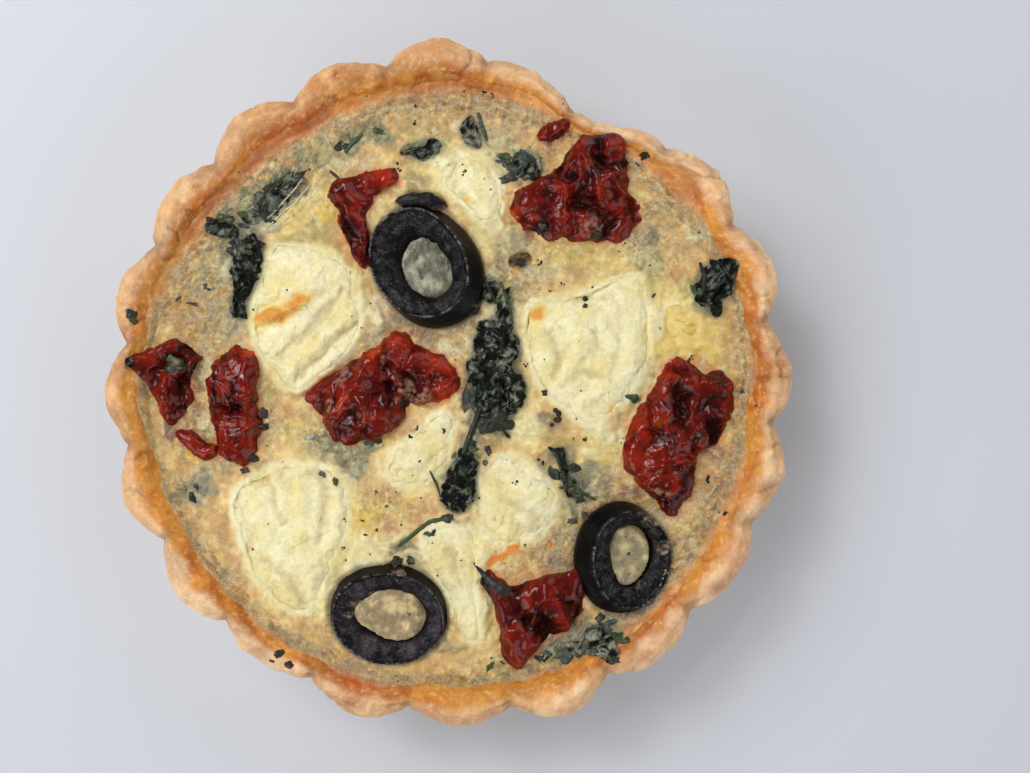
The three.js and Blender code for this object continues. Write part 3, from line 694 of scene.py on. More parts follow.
# ------------------------------------------------------------------ toppings
def refined(node, voxel, smoothing, levels=1):
    """A finer, rounded copy of a node's solid."""
    work = bpy.data.objects.new("work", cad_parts[node].data.copy())
    bpy.context.scene.collection.objects.link(work)
    remesh = work.modifiers.new("remesh", "REMESH")
    remesh.mode = "VOXEL"
    remesh.voxel_size = voxel * MM
    soften = work.modifiers.new("soften", "SMOOTH")
    soften.factor = 0.5
    soften.iterations = smoothing
    divide = work.modifiers.new("divide", "SUBSURF")
    divide.levels = levels
    graph = bpy.context.evaluated_depsgraph_get()
    mesh = bpy.data.meshes.new_from_object(work.evaluated_get(graph))
    bpy.data.objects.remove(work)
    obj = bpy.data.objects.new("baked_" + node, mesh)
    mesh.name = obj.name
    mesh.shade_smooth()
    bpy.context.scene.collection.objects.link(obj)
    return obj


# browned spots on the cheese, as rows for spots()
CHEESE_BROWN = [
    (274, 316, 19, 7, 14, 1.7), (298, 303, 14, 7, 20, 1.2), (538, 314, 8, 9, 0, 1.2),
    (280, 312, 12, 5, 18, 1.2), (535, 325, 10, 12, 0, 0.25), (613, 420, 6, 19, 0, 0.75),
    (467, 199, 6, 4, 0, 0.7), (502, 199, 5, 5, 0, 0.8), (503, 561, 17, 5, 32, 1.0),
    (548, 543, 5, 4, 0, 0.8)]
# its folds and dents, as rows for strokes()
CHEESE_FOLDS = [
    ([(263, 321), (284, 314), (308, 301)], 6, 1.05), ([(258, 326), (284, 322)], 3, -0.35),
    ([(290, 372), (325, 340), (352, 312)], 5, 0.45), ([(300, 388), (335, 357), (360, 335)], 5, 0.4),
    ([(280, 355), (315, 325), (345, 290)], 4, -0.4),
    ([(296, 380), (330, 348), (356, 322)], 3, -0.35), ([(312, 395), (342, 366)], 4, -0.3),
    ([(262, 300), (300, 285), (330, 262)], 7, 0.35), ([(300, 300), (322, 296)], 6, -0.35),
    ([(268, 262), (300, 250), (338, 250)], 6, 0.3),
    ([(533, 306), (560, 303), (590, 290), (640, 274)], 4, 0.45),
    ([(548, 330), (558, 352), (556, 376)], 4, -0.45),
    ([(532, 338), (545, 350), (540, 370)], 9, 0.4), ([(570, 310), (578, 340), (572, 370)], 8, 0.3),
    ([(560, 385), (585, 372), (612, 380)], 4, -0.3),
    ([(583, 402), (600, 392), (614, 398)], 4, 0.35),
    ([(586, 360), (600, 350), (592, 330)], 5, -0.25),
    ([(630, 300), (636, 340), (628, 370)], 9, 0.3),
    ([(606, 320), (618, 345), (610, 372)], 4, -0.25),
    ([(236, 480), (240, 510), (252, 540)], 5, -0.15),
    ([(248, 470), (256, 500), (270, 535)], 6, 0.4), ([(268, 470), (274, 500), (286, 520)], 4, -0.3),
    ([(300, 462), (305, 500), (300, 540)], 7, 0.3),
    ([(320, 470), (326, 500), (320, 540)], 4, -0.35),
    ([(335, 480), (340, 515), (335, 545)], 6, 0.35),
    ([(268, 560), (290, 575), (300, 600)], 5, -0.3), ([(285, 555), (310, 570), (318, 600)], 6, 0.3),
    ([(410, 440), (430, 425), (445, 420)], 6, 0.35),
    ([(400, 470), (425, 470), (440, 450)], 5, -0.25),
    ([(490, 470), (520, 455), (545, 480)], 6, 0.3), ([(505, 500), (530, 510), (540, 530)], 5, -0.3),
    ([(490, 520), (510, 535)], 5, 0.3), ([(430, 560), (440, 590), (455, 620)], 6, 0.3),
    ([(450, 550), (462, 585)], 4, -0.3), ([(455, 175), (470, 190), (490, 215)], 6, 0.3)]


def film_over(points, seed, low=0.15, high=0.85, rough=0.45):
    """How much custard has crept over a topping: 1 at the foot of its sides, 0 on top."""
    above = points[:, 2] - custard_level(points[:, 0], points[:, 1])
    return 1 - smooth(low, high, above + rough * fbm(points, 1.5, 3, seed))


def cheese_tone(points):
    """Cream, yellower and shaded stretches of the cheese, wherever a point lies."""
    flat = points * (1, 1, 0)
    yellow = smooth(-0.15, 0.5, fbm(flat, 6.0, 3, 97) + 0.1)
    shaded = smooth(0.05, 0.5, fbm(warped(flat, 3, 1.2, 101), 3.0, 3, 102))
    tone = mix(linear(248, 238, 192), linear(240, 224, 158), yellow)
    tone = mix(tone, linear(222, 206, 148), 0.55 * shaded)
    return mix(tone, linear(252, 246, 212), 0.5 * smooth(0.1, 0.5, fbm(flat, 2.0, 3, 103)))


def melted_tone(share):
    """The yellow cheese at the right, which has melted flat."""
    return mix(linear(232, 196, 104), linear(246, 222, 140), smooth(-0.3, 0.4, share))


def build_cheese(node, seed):
    """A lump of soft cheese with curds, folds, pores, browned spots and painted shade in its
    hollows.
    """
    obj = refined(node, 0.42, 34)
    p, n = points_of(obj), normals_of(obj)
    up = smooth(-0.2, 0.4, n[:, 2])
    w = warped(p, 5.0, 1.6, seed)
    folds = ridges(w, 8.5, 2, seed + 2) - 0.6
    curds = fbm(p, 2.6, 3, seed + 5)
    fine = fbm(p, 0.8, 2, seed + 7)
    pressed = strokes(p[:, 0], p[:, 1], CHEESE_FOLDS, seed)
    crease = -smooth(0.84, 0.98, ridges(w, 4.2, 1, seed + 9))
    crease *= smooth(-0.1, 0.4, fbm(p, 6, 1, seed + 11))
    pores, kind = cells(p, 1.1, seed + 19)
    pitted = -0.22 * domes(pores, 0.4) * (kind > 0.8) * smooth(-0.1, 0.3, fbm(p, 3.5, 1, seed + 20))
    relief = 0.10 + 0.34 * folds + 0.32 * curds + 0.08 * fine + 0.14 * crease
    relief = relief + 1.15 * pressed + pitted
    melted = node == "cheese_far_right"
    if melted:
        relief = 0.4 * relief
    q = p + n * (relief * (0.3 + 0.7 * up))[:, None]
    q[:, :2] += 0.8 * sideways(p, 4.0, 3, seed + 13)
    q[:, :2] += 0.3 * sideways(p, 1.2, 2, seed + 14)
    # painted shade: darker where the relief sinks
    tone = mix(cheese_tone(q), linear(214, 198, 146), 0.6 * smooth(0.0, 0.5, -relief + 0.1))
    if melted:
        tone = melted_tone(curds)
    film = film_over(q, seed + 18, 0.15, 1.1, 0.5)
    tone = mix(tone, custard_tone(q), 0.25 * film)
    baked = spots(q[:, 0], q[:, 1], CHEESE_BROWN, 41, 0.5) * up
    tone = mix(tone, linear(246, 206, 116), 0.9 * smooth(0.05, 0.6, baked + 0.2 * curds))
    burnt = smooth(0.4, 1.0, baked + 0.35 * fine + 0.2 * curds)
    tone = mix(tone, linear(222, 142, 40), 0.85 * burnt)
    # random grain, and painted shade and light: lighter on raised lumps, darker in hollows
    tone = tone * (1 + 0.06 * fine + 0.22 * np.clip(relief, -0.5, 0.2))[:, None]
    move_points(obj, q)
    paint(obj, tone, gloss=np.clip(0.4 + 0.3 * curds + 0.3 * film, 0, 1))
    return obj


def cheese_shader():
    s = Shader("soft cheese", Specular_IOR_Level=0.45, Subsurface_Weight=0.30,
               Subsurface_Scale=0.0022, Subsurface_Radius=(1.0, 0.8, 0.5))
    fine = s.noise(0.5, 3, 0.6)
    s.link(s.shade(s.tone(), s.spread(fine, 0.91, 1.08)), "Base Color")
    s.link(s.remap(s.value("gloss"), 0, 1, 0.58, 0.34), "Roughness")
    s.bumps((s.noise(1.4, 4, 0.65), 0.26), (fine, 0.13))
    return s


# custard smeared over the tomato, then where its colours change, as rows for spots()
TOMATO_SMEARS = [
    (410, 392, 9, 18, 30, 1.0), (425, 396, 10, 12, 0, 0.75), (333, 403, 5, 11, 20, 0.8),
    (383, 362, 5, 7, 0, 0.8), (395, 398, 6, 8, 0, 0.5), (590, 228, 12, 9, 30, 0.9),
    (637, 212, 4, 5, 0, 0.5), (571, 560, 14, 10, 0, 0.5), (203, 425, 14, 12, 0, 1.0),
    (660, 492, 7, 6, 0, 0.8), (658, 472, 9, 3, 20, 0.6), (532, 198, 4, 5, 0, 0.5),
    (345, 378, 9, 5, 20, 0.4), (345, 374, 7, 11, 0, 1.3), (192, 412, 6, 12, 0, 0.9),
    (604, 178, 5, 3, 0, 0.3), (232, 420, 14, 4, 0, 0.5), (240, 432, 7, 4, -30, 0.5)]
TOMATO_BRIGHT = [
    (386, 178, 14, 8, 0, 1.3), (402, 342, 14, 16, 0, 0.95), (440, 362, 30, 10, -28, 0.95),
    (447, 390, 16, 12, 0, 0.9), (374, 352, 5, 14, -30, 1.0), (345, 402, 3, 16, -15, 1.0),
    (640, 428, 12, 14, 0, 0.8), (663, 372, 9, 16, 0, 0.7), (640, 460, 20, 20, 0, 0.55),
    (522, 585, 30, 5, 8, 0.5), (520, 650, 10, 10, 0, 0.7), (225, 430, 6, 20, 0, 0.6),
    (252, 440, 4, 24, 0, 0.6), (516, 213, 10, 8, 0, 0.8), (250, 352, 10, 5, 0, 0.9),
    (630, 210, 12, 20, 30, 0.3), (618, 150, 5, 16, -35, 0.5), (150, 360, 12, 7, 0, 0.6),
    (315, 395, 8, 16, 20, 0.5), (340, 190, 5, 30, 0, 0.3), (735, 375, 8, 8, 0, 0.4),
    (665, 480, 16, 8, 0, 0.5), (560, 200, 8, 20, 0, 0.35), (200, 445, 20, 5, -30, 0.7)]
TOMATO_AMBER = [
    (440, 402, 10, 4, 0, 1.0), (455, 396, 5, 8, 0, 0.7), (250, 350, 6, 3, 0, 0.8),
    (512, 214, 5, 4, 0, 0.6), (345, 404, 2, 10, -15, 0.7), (376, 350, 3, 9, -30, 0.7),
    (655, 421, 5, 5, 0, 0.6), (668, 358, 7, 3, 0, 0.6), (318, 424, 10, 3, -30, 0.8),
    (215, 445, 3, 12, 20, 0.6), (520, 662, 8, 4, 0, 0.5)]
# darker flesh, and painted shade in valleys and under edges
TOMATO_DARK_AND_SHADE = [
    (612, 165, 14, 13, 0, 0.9), (578, 185, 8, 22, 0, 0.8), (392, 382, 9, 16, 20, 0.9),
    (377, 395, 10, 24, 0, 0.4), (708, 400, 22, 24, 0, 0.8), (690, 430, 12, 12, 0, 0.7),
    (178, 400, 8, 26, -15, 0.8), (196, 372, 6, 18, 0, 0.6), (238, 408, 12, 5, 0, 0.6),
    (620, 205, 12, 8, 30, 0.5), (560, 228, 12, 6, 0, 0.5), (365, 425, 16, 8, 0, 0.4)]
TOMATO_BURNT = [
    (136, 360, 6, 11, 0, 1.0), (538, 230, 9, 6, 20, 0.9), (710, 397, 6, 3, 0, 0.7),
    (695, 435, 5, 4, 0, 0.7), (218, 388, 3, 26, 0, 0.75), (485, 578, 12, 7, -40, 1.0),
    (590, 238, 6, 4, 0, 0.6), (337, 398, 1.5, 5, 0, 0.9)]
# its ridges and hollows, as rows for strokes()
TOMATO_FOLDS = [
    ([(588, 152), (591, 168), (597, 180), (596, 205)], 4, 0.7),
    ([(588, 160), (600, 168), (608, 180)], 4, 0.5), ([(608, 180), (622, 192), (636, 205)], 6, 0.4),
    ([(606, 136), (606, 154)], 4, 0.4), ([(612, 137), (626, 160)], 5, 0.35),
    ([(562, 184), (567, 196), (566, 216)], 3, 0.45),
    ([(520, 206), (545, 186), (568, 170), (590, 150)], 6, 0.5),
    ([(575, 175), (578, 200), (570, 225)], 7, -0.6), ([(603, 160), (612, 172)], 7, -0.5),
    ([(530, 215), (548, 222), (560, 238)], 4, -0.35),
    ([(600, 200), (612, 215), (606, 238)], 6, -0.35),
    ([(372, 352), (352, 390), (340, 415), (336, 440)], 5, 0.55), ([(335, 392), (331, 412)], 5, 0.3),
    ([(362, 372), (366, 395), (368, 418)], 6, 0.35),
    ([(384, 362), (392, 380), (396, 400)], 7, -0.9),
    ([(405, 372), (415, 392), (410, 408)], 6, -0.8),
    ([(388, 360), (404, 367), (416, 375), (432, 379)], 3.5, 0.6),
    ([(400, 330), (396, 345), (388, 357)], 5, 0.5), ([(440, 356), (458, 374), (456, 396)], 5, 0.5),
    ([(436, 374), (434, 398)], 3.5, -0.35), ([(350, 425), (372, 432), (395, 420)], 6, 0.4),
    ([(345, 380), (350, 405)], 4, -0.35), ([(135, 358), (165, 352), (190, 350)], 6, 0.4),
    ([(150, 380), (150, 398)], 8, 0.35), ([(168, 378), (165, 405), (168, 430)], 4, 0.5),
    ([(190, 380), (180, 405), (176, 428)], 7, -0.5), ([(155, 370), (170, 372)], 3, -0.3),
    ([(218, 362), (218, 410)], 3.5, 0.4),
    ([(222, 356), (225, 380), (236, 391), (249, 407), (253, 418)], 2.2, 0.45),
    ([(236, 396), (242, 404), (238, 412)], 1.8, 0.35), ([(248, 362), (249, 392)], 4, 0.5),
    ([(224, 415), (248, 417)], 4, 0.55), ([(226, 407), (250, 408)], 3, -0.4),
    ([(228, 430), (246, 428)], 3, -0.3), ([(225, 440), (232, 455)], 6, 0.5),
    ([(252, 425), (252, 450)], 5, 0.3), ([(240, 440), (240, 458)], 5, -0.25),
    ([(645, 408), (647, 426), (658, 431)], 3, 0.6), ([(652, 402), (652, 418)], 2.5, -0.35),
    ([(660, 400), (668, 412), (664, 432), (672, 448)], 4, 0.45), ([(690, 396), (688, 420)], 4, 0.4),
    ([(705, 380), (720, 392), (722, 415)], 5, 0.4),
    ([(700, 410), (690, 435), (696, 455)], 6, -0.45),
    ([(650, 466), (672, 462), (690, 455)], 4, 0.5), ([(648, 475), (675, 470)], 3, -0.4),
    ([(630, 455), (640, 470), (652, 488)], 7, 0.4), ([(665, 488), (672, 510)], 5, 0.35),
    ([(655, 375), (670, 385)], 4, 0.3), ([(680, 372), (678, 395)], 4, -0.3),
    ([(486, 582), (520, 586), (565, 575)], 4, 0.45),
    ([(500, 590), (508, 620), (515, 655)], 4, 0.45), ([(520, 600), (528, 625)], 6, -0.35),
    ([(545, 590), (535, 615), (525, 640)], 4, 0.35),
    ([(335, 182), (345, 205), (360, 240), (372, 265)], 4, 0.4), ([(330, 190), (342, 225)], 3, -0.3)]


# how ragged a piece's outline is, and how light the piece
TOMATO_OWN = {"tomato_bottom": (0.45, 0.68)}


def swell_tomato(node, p, n, q):
    """Small corrections of four outlines against the photograph."""
    if node == "tomato_upper_left":
        q[:, :2] += (0.6 * smooth(-0.4, 0.3, n[:, 0]))[:, None] * n[:, :2]
    if node == "tomato_link":
        q += 0.35 * n
    if node == "tomato_bottom":
        q[:, :2] += (0.7 * smooth(-0.2, 0.4, n[:, 0]))[:, None] * n[:, :2]
        q[:, :2] += smooth(12, 18, p[:, 0])[:, None] * (0.8, -0.8)
        q[:, 1] += 2.2 * smooth(9, 18, p[:, 0]) * smooth(-0.1, 0.5, n[:, 1])
    if node == "tomato_far_left":
        q[:, 0] += 1.2 * smooth(0.5, -6.5, p[:, 1])


def build_tomato(node, seed):
    """A leathery dried tomato."""
    obj = refined(node, 0.40, 9)
    p, n = points_of(obj), normals_of(obj)
    up = smooth(-0.3, 0.3, n[:, 2])
    w = warped(p, 6.0, 1.6, seed)
    leather = creased(w, 6.2, seed + 2, 1)
    drawn = drawn_out(warped(p, 2.2, 1.2, seed + 3), 0.7)
    wrinkles = creased(drawn, 2.7, seed + 4, 2, 0.35)
    pressed = strokes(p[:, 0], p[:, 1], TOMATO_FOLDS, seed)
    relief = 0.05 + 0.52 * leather + 0.13 * wrinkles + 1.3 * pressed
    q = p + n * (relief * (0.25 + 0.75 * up))[:, None]
    ragged, shadow = TOMATO_OWN.get(node, (0.75, 0.82))
    q[:, :2] += ragged * sideways(p, 3.0, 3, seed + 8)
    swell_tomato(node, p, n, q)
    red = linear(148, 33, 11)
    x, y = q[:, 0], q[:, 1]
    patches = fbm(q, 2.0, 3, seed + 11)
    tone = mix(linear(54, 5, 3), linear(100, 15, 6), smooth(-0.5, 0.5, patches + 0.5 * leather))
    tone = mix(tone, red, 0.55 * smooth(0.3, 0.9, wrinkles + 0.4 * patches))
    tone = mix(tone, linear(52, 5, 3), np.clip(spots(x, y, TOMATO_DARK_AND_SHADE, 42, 0.8), 0, 1) * 0.7)
    # painted shade and light: darker in creases, lighter on ridges
    relief_shade = np.clip(0.7 * leather + 0.5 * wrinkles + pressed, -0.6, 0.45)
    tone *= (1 + 1.2 * relief_shade)[:, None]
    bright = spots(x, y, TOMATO_BRIGHT, 43, 0.8)
    tone = mix(tone, red, np.clip(1.1 * bright, 0, 1) * smooth(-0.8, 0.2, patches))
    tone = mix(tone, linear(186, 44, 12), np.clip(1.6 * bright - 0.7, 0, 1))
    rim = film_over(q, seed + 12, -0.1, 0.55, 0.25)
    tone = mix(tone, linear(170, 60, 22), 0.55 * rim)
    amber = np.clip(spots(x, y, TOMATO_AMBER, 44, 0.5), 0, 1)
    tone = mix(tone, linear(214, 88, 24), amber * 0.9)
    tone = mix(tone, linear(22, 12, 10), smooth(0.25, 0.6, spots(x, y, TOMATO_BURNT, 45, 0.4)))
    smear = spots(x, y, TOMATO_SMEARS, 47, 0.9) * up
    smear = smooth(0.3, 0.6, smear + 0.3 * fbm(q, 1.1, 3, seed + 14))
    broken = smooth(-0.3, 0.3, fbm(q, 0.8, 2, seed + 21))
    tone = mix(tone, linear(186, 146, 122), 0.65 * smear * broken)
    # thin pale lines on raised creases: dried film, and painted highlight
    film_and_glint_lines = ridges(warped(q * (1, 1, 0), 2.0, 1.2, seed + 15), 1.4, 2, seed + 16)
    film_and_glint_lines = smooth(0.82, 0.97, film_and_glint_lines)
    broken = smooth(-0.2, 0.3, fbm(q, 4, 1, seed + 18))
    tone = mix(tone, linear(176, 84, 72), 0.42 * film_and_glint_lines * broken)
    q += n * (0.16 * film_and_glint_lines * up)[:, None]
    tone = mix(tone, custard_tone(q), 0.8 * film_over(q, seed + 19, -0.35, 0.25, 0.35))
    q[:, 2] += 0.12 * smear
    tone = tone * shadow
    move_points(obj, q)
    shiny = smooth(-0.7, 0.1, leather + pressed + 0.5 * wrinkles)
    paint(obj, tone, gloss=(1 - 0.6 * smear) * shiny)
    return obj


def tomato_shader():
    s = Shader("dried tomato", Specular_IOR_Level=0.03, Subsurface_Weight=0.06,
               Subsurface_Scale=0.0008, Subsurface_Radius=(1.0, 0.15, 0.08),
               Coat_Weight=0.52, Coat_Roughness=0.06)
    fine = s.noise(0.45, 4, 0.7, distortion=0.8)
    tone = s.shade(s.tone(), s.spread(fine, 0.70, 1.32))
    # thin pale lines: pale veins, and painted highlights
    glint_threads = s.times(s.strands(1.5, 0.03), 0.08)
    s.link(s.mix(glint_threads, tone, (0.55, 0.16, 0.10, 1)), "Base Color")
    s.link(s.remap(s.math("ADD", s.value("gloss"), fine), 0.5, 1.6, 0.6, 0.5), "Roughness")
    s.link(s.remap(s.value("gloss"), 0.0, 1.0, 0.05, 0.55), "Coat Weight")
    s.bumps((s.noise(1.6, 3, 0.5, distortion=1.6), 0.16), (fine, 0.08), coat=False)
    return s


def drawn_out(points, share):
    """The points for noise whose features run along a piece's longer side."""
    middle = points.mean(0)
    _, axes = np.linalg.eigh(np.cov((points - middle)[:, :2].T))
    along = axes[:, 1]
    run = (points[:, :2] - middle[:2]) @ along
    moved = points.copy()
    moved[:, :2] -= (1 - share) * run[:, None] * along
    return moved


def build_spinach(node, seed):
    """A crumpled clump of leaf under a broken film of custard."""
    obj = refined(node, 0.36, 5)
    p, n = points_of(obj), normals_of(obj)
    up = smooth(-0.3, 0.3, n[:, 2])
    drawn = drawn_out(warped(p, 2.6, 1.3, seed), 0.5)
    crumple = creased(drawn, 2.4, seed + 2, 2, 0.45)
    drawn = drawn_out(warped(p, 1.4, 0.8, seed + 3), 0.5)
    fibres = creased(drawn, 0.75, seed + 4, 2, 0.6)
    relief = -0.05 + 0.46 * crumple + 0.11 * fibres
    q = p + n * (relief * (0.25 + 0.75 * up))[:, None]
    q[:, :2] += 1.9 * sideways(p, 3.4, 3, seed + 8)
    green = smooth(-0.1, 0.7, fibres + 0.6 * fbm(q, 1.4, 2, seed + 11))
    moss = smooth(0.35, 0.7, fbm(q, 2.2, 3, seed + 12))
    tone = mix(linear(2, 4, 2), linear(13, 25, 13), green)
    tone = mix(tone, linear(46, 62, 32), 0.6 * moss)
    glint = smooth(0.30, 0.75, fibres + 0.3 * crumple)
    glint *= smooth(-0.15, 0.35, fbm(q, 2.2, 2, seed + 13))
    tone = mix(tone, linear(140, 150, 138), 0.40 * glint)
    # painted shade and light: darker in the crumples' folds, lighter on their ridges
    tone *= (1 + 0.8 * np.clip(crumple, -0.8, 0.4))[:, None]
    film = film_over(q, seed + 14, 0.0, 0.7, 1.0)
    veil = fbm(warped(q, 2, 1.2, seed + 15), 1.7, 3, seed + 16) + FILMED.get(node, 0) - 0.25
    veil = smooth(0.05, 0.4, veil)
    light = smooth(-0.3, 0.45, fibres + 0.6 * fbm(q, 0.9, 2, seed + 18))
    tone = mix(tone, mix(linear(92, 98, 84), linear(184, 180, 150), light), 0.6 * veil)
    crept = mix(linear(*LEAF_FILM), custard_tone(q) * 0.85, 0.4 * np.ones(len(q)))
    tone = mix(tone, crept, 0.8 * film)
    move_points(obj, q)
    # the veil value sets where the shader paints pale lines: custard film, and painted highlights
    paint(obj, tone, veil=np.clip(0.06 + 0.5 * glint + 0.6 * veil + 0.5 * film, 0, 1))
    return obj


LEAF_FILM = (128, 128, 102)     # custard that has crept over a leaf
# leaves with a skin of custard over them, and how much
FILMED = dict(
    spinach_bottom=0.5, spinach_top_left=0.3, spinach_left=0.2, spinach_edge_left=0.25,
    spinach_top_middle=0.3, spinach_top_right=0.2, spinach_right=0.1, spinach_by_olive=0.3,
    spinach_middle=0.2, spinach_lower=0.12)


def spinach_shader():
    s = Shader("cooked spinach", Specular_IOR_Level=0.02, Coat_Weight=0.12, Coat_Roughness=0.08)
    fine = s.noise(0.4, 4, 0.7, distortion=0.8)
    tone = s.shade(s.tone(), s.spread(fine, 0.28, 1.6))
    glint = s.math("MAXIMUM", s.remap(fine, 0.57, 0.70, 0.0, 0.40), s.strands(0.75, 0.05))
    glint = s.times(glint, s.value("veil"))
    s.link(s.mix(glint, tone, (0.58, 0.60, 0.50, 1)), "Base Color")
    s.link(s.spread(fine, 0.6, 0.38), "Roughness")
    s.bumps((s.noise(0.8, 4, 0.7, distortion=0.8), 0.26), (fine, 0.13))
    return s


# ------------------------------------------------------------------ olives
# Each ring: half sizes of the skin and the hole, the hole's drawn-out tip, the cut face against
# the skin, and the custard in the hole, as lift over the rest, frothiness, light and dark.
OLIVE_RINGS = {
    "olive_top": dict(
        at=(-3.25, 18.35), across=(8.1, 10.3), turn=31, hole=(3.3, 4.4), hole_at=(-0.1, -0.8),
        tip=0.1, tip_turn=100, height=5.2, lean=9, lean_to=150, face=0.90, face_at=(-0.75, 0.6),
        flesh=((8, 6, 8), (24, 19, 23)), lift=0.5, froth=1.0,
        light=(176, 174, 156), dark=(84, 86, 74)),
    "olive_bottom_left": dict(
        at=(-9.3, -35.7), across=(9.35, 7.85), turn=-4, hole=(4.3, 3.5), hole_at=(1.2, 0.1),
        tip=0.3, tip_turn=176, height=4.6, lean=7, lean_to=260, face=0.95, face_at=(0.1, -0.3),
        flesh=((40, 33, 39), (72, 60, 68)), lift=0.7, froth=0.5,
        light=(222, 200, 146), dark=(146, 122, 88)),
    "olive_bottom_right": dict(
        at=(27.05, -27.3), across=(7.55, 9.05), turn=6, hole=(2.9, 4.0), hole_at=(1.1, 1.2),
        tip=0.2, tip_turn=262, height=5.6, lean=14, lean_to=340, face=0.86, face_at=(0.75, 0.3),
        flesh=((8, 6, 8), (20, 17, 20)), lift=0.9, froth=0.4,
        light=(206, 190, 142), dark=(136, 122, 88)),
}
OLIVE_STEPS = 240       # round a ring
SECTION_STEPS = 72      # round its section
# share of the way from the hole to the skin and share of the height, round the section
OLIVE_SECTION = [
    (0.45, 0.0), (0.85, 0.0), (0.96, 0.12), (1.0, 0.35), (1.0, 0.62), (0.985, 0.86), (0.955, 0.975),
    (0.92, 1.0), (0.885, 0.93), (0.84, 0.86), (0.76, 0.85), (0.60, 0.83), (0.42, 0.79),
    (0.27, 0.72), (0.13, 0.62), (0.04, 0.52), (0.0, 0.40), (0.0, 0.24), (0.03, 0.08), (0.12, 0.0)]


def build_olive(node, seed):
    """A cut olive ring: its section swept round, then tilted and set in its place."""
    ring = OLIVE_RINGS[node]
    knots = np.array(OLIVE_SECTION + OLIVE_SECTION[:1])
    runs = np.linalg.norm(np.diff(knots, axis=0) * (4.5, 5.2), axis=1)
    reach = np.concatenate([[0], np.cumsum(runs)])
    t = np.linspace(0, reach[-1], SECTION_STEPS + 1)[:-1]
    out, up = np.interp(t, reach, knots[:, 0]), np.interp(t, reach, knots[:, 1])
    for _ in range(2):
        out, up = [(np.roll(v, 1) + 2 * v + np.roll(v, -1)) / 4 for v in (out, up)]
    a = 2 * np.pi * np.arange(OLIVE_STEPS) / OLIVE_STEPS
    wobble = np.column_stack([np.cos(a) * 6, np.sin(a) * 6, 0 * a])
    pointed = 1 + ring["tip"] * bump(np.degrees(a), ring["tip_turn"] - ring["turn"], 26)
    skin_size = 1 + 0.035 * noise(wobble, 5, seed)
    hole_size = pointed * (1 + 0.07 * noise(wobble, 3.2, seed + 2))
    circle = np.stack([np.cos(a), np.sin(a)], -1)
    skin = ring["across"] * circle * skin_size[:, None]
    hole = ring["hole"] * circle * hole_size[:, None]
    hole += ring["hole_at"]
    o, u = out[:, None, None], up[:, None]
    flat = hole[None] * (1 - o) + skin[None] * o
    faced = smooth(0.35, 1.0, up)[:, None, None]
    flat = flat * (1 - faced * (1 - ring["face"])) + faced * np.array(ring["face_at"])
    top = smooth(0.60, 0.80, up)[:, None]
    uneven = 0.28 * noise(wobble, 4.5, seed + 4)
    z = u * ring["height"] + top * uneven[None, :] - ring["height"] / 2
    grid = np.concatenate([flat, np.broadcast_to(z, flat.shape[:2])[..., None]], -1)
    p = grid.reshape(-1, 3)
    share = np.repeat(out, OLIVE_STEPS)
    level = np.repeat(up, OLIVE_STEPS)
    flesh = smooth(0.62, 0.78, level) * (1 - smooth(0.86, 0.90, share))
    flesh *= smooth(-0.02, 0.03, share)
    rim = np.exp(-((share - 0.93) / 0.028) ** 2) * smooth(0.8, 0.95, level)
    around = np.tile(a, len(out))
    fibre = np.column_stack([np.cos(around) * 30, np.sin(around) * 30, share * 3])
    streaks = fbm(fibre, 3.0, 2, seed + 6)
    normal = np.cross(np.gradient(grid, axis=0), np.roll(grid, -1, 1) - np.roll(grid, 1, 1))
    normal = unit(normal).reshape(-1, 3)
    relief = flesh * (0.16 * fbm(p, 0.8, 3, seed + 8) + 0.08 * streaks)
    relief += rim * 0.24 * noise(fibre, 1.1, seed + 9)
    relief += (1 - flesh) * 0.05 * fbm(p, 2.5, 2, seed + 10)
    if node == "olive_bottom_right":
        torn = np.exp(-((p[:, 0] - 5.6) / 2.6) ** 2 - ((p[:, 1] - 4.4) / 2.2) ** 2) * flesh
        relief += 1.1 * torn * fbm(p, 1.1, 3, seed + 12)
    if node == "olive_bottom_left":
        cut = np.exp(-((p[:, 1] - 0.2) / 0.22) ** 2) * (p[:, 0] < -3.2)
        relief -= 0.45 * cut * flesh
    p = p + normal * relief[:, None]
    black, rim_grey = linear(4, 3, 5), linear(150, 146, 148)
    char, plum = (linear(*flesh_tone) for flesh_tone in ring["flesh"])
    tone = mix(black, char, flesh * smooth(-0.4, 0.5, fbm(p, 1.6, 3, seed + 14)))
    tone = mix(tone, plum, 0.8 * flesh * smooth(0.0, 0.6, fbm(p, 3.5, 2, seed + 16)))
    speck = smooth(0.30, 0.62, fbm(p, 0.5, 2, seed + 18))
    tone = mix(tone, linear(96, 90, 96), 0.4 * flesh * speck * smooth(0.1, 0.35, share))
    # painted shade: black along the groove inside the rim
    groove_shade = np.exp(-((share - 0.85) / 0.035) ** 2) * smooth(0.75, 0.85, level)
    tone = mix(tone, black, 0.85 * groove_shade)
    # a pale grey serrated line along the raised rim
    serration = smooth(-0.45, 0.35, noise(fibre, 0.8, seed + 20))
    serration *= smooth(-0.5, 0.2, noise(fibre, 6, seed + 21))
    tone = mix(tone, rim_grey, 0.8 * rim * serration)
    # painted shade: black down the cut face into the hole
    tone = mix(tone, black, 0.9 * smooth(0.26, 0.10, share) * smooth(0.9, 0.6, level))
    lean, lean_to, turn = (math.radians(ring[k]) for k in ("lean", "lean_to", "turn"))
    c, s = math.cos(turn), math.sin(turn)
    p = p @ np.array([[c, -s, 0], [s, c, 0], [0, 0, 1]]).T
    axis = np.array([-math.sin(lean_to), math.cos(lean_to), 0.0])
    p = (p * math.cos(lean) + np.cross(axis, p) * math.sin(lean)
         + axis[None, :] * (p @ axis)[:, None] * (1 - math.cos(lean)))
    low, high = (np.array(v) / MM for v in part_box(node))
    x, y = ring["at"]
    p += (x + PART_SHIFT[0], y + PART_SHIFT[1], (low[2] + high[2]) / 2)
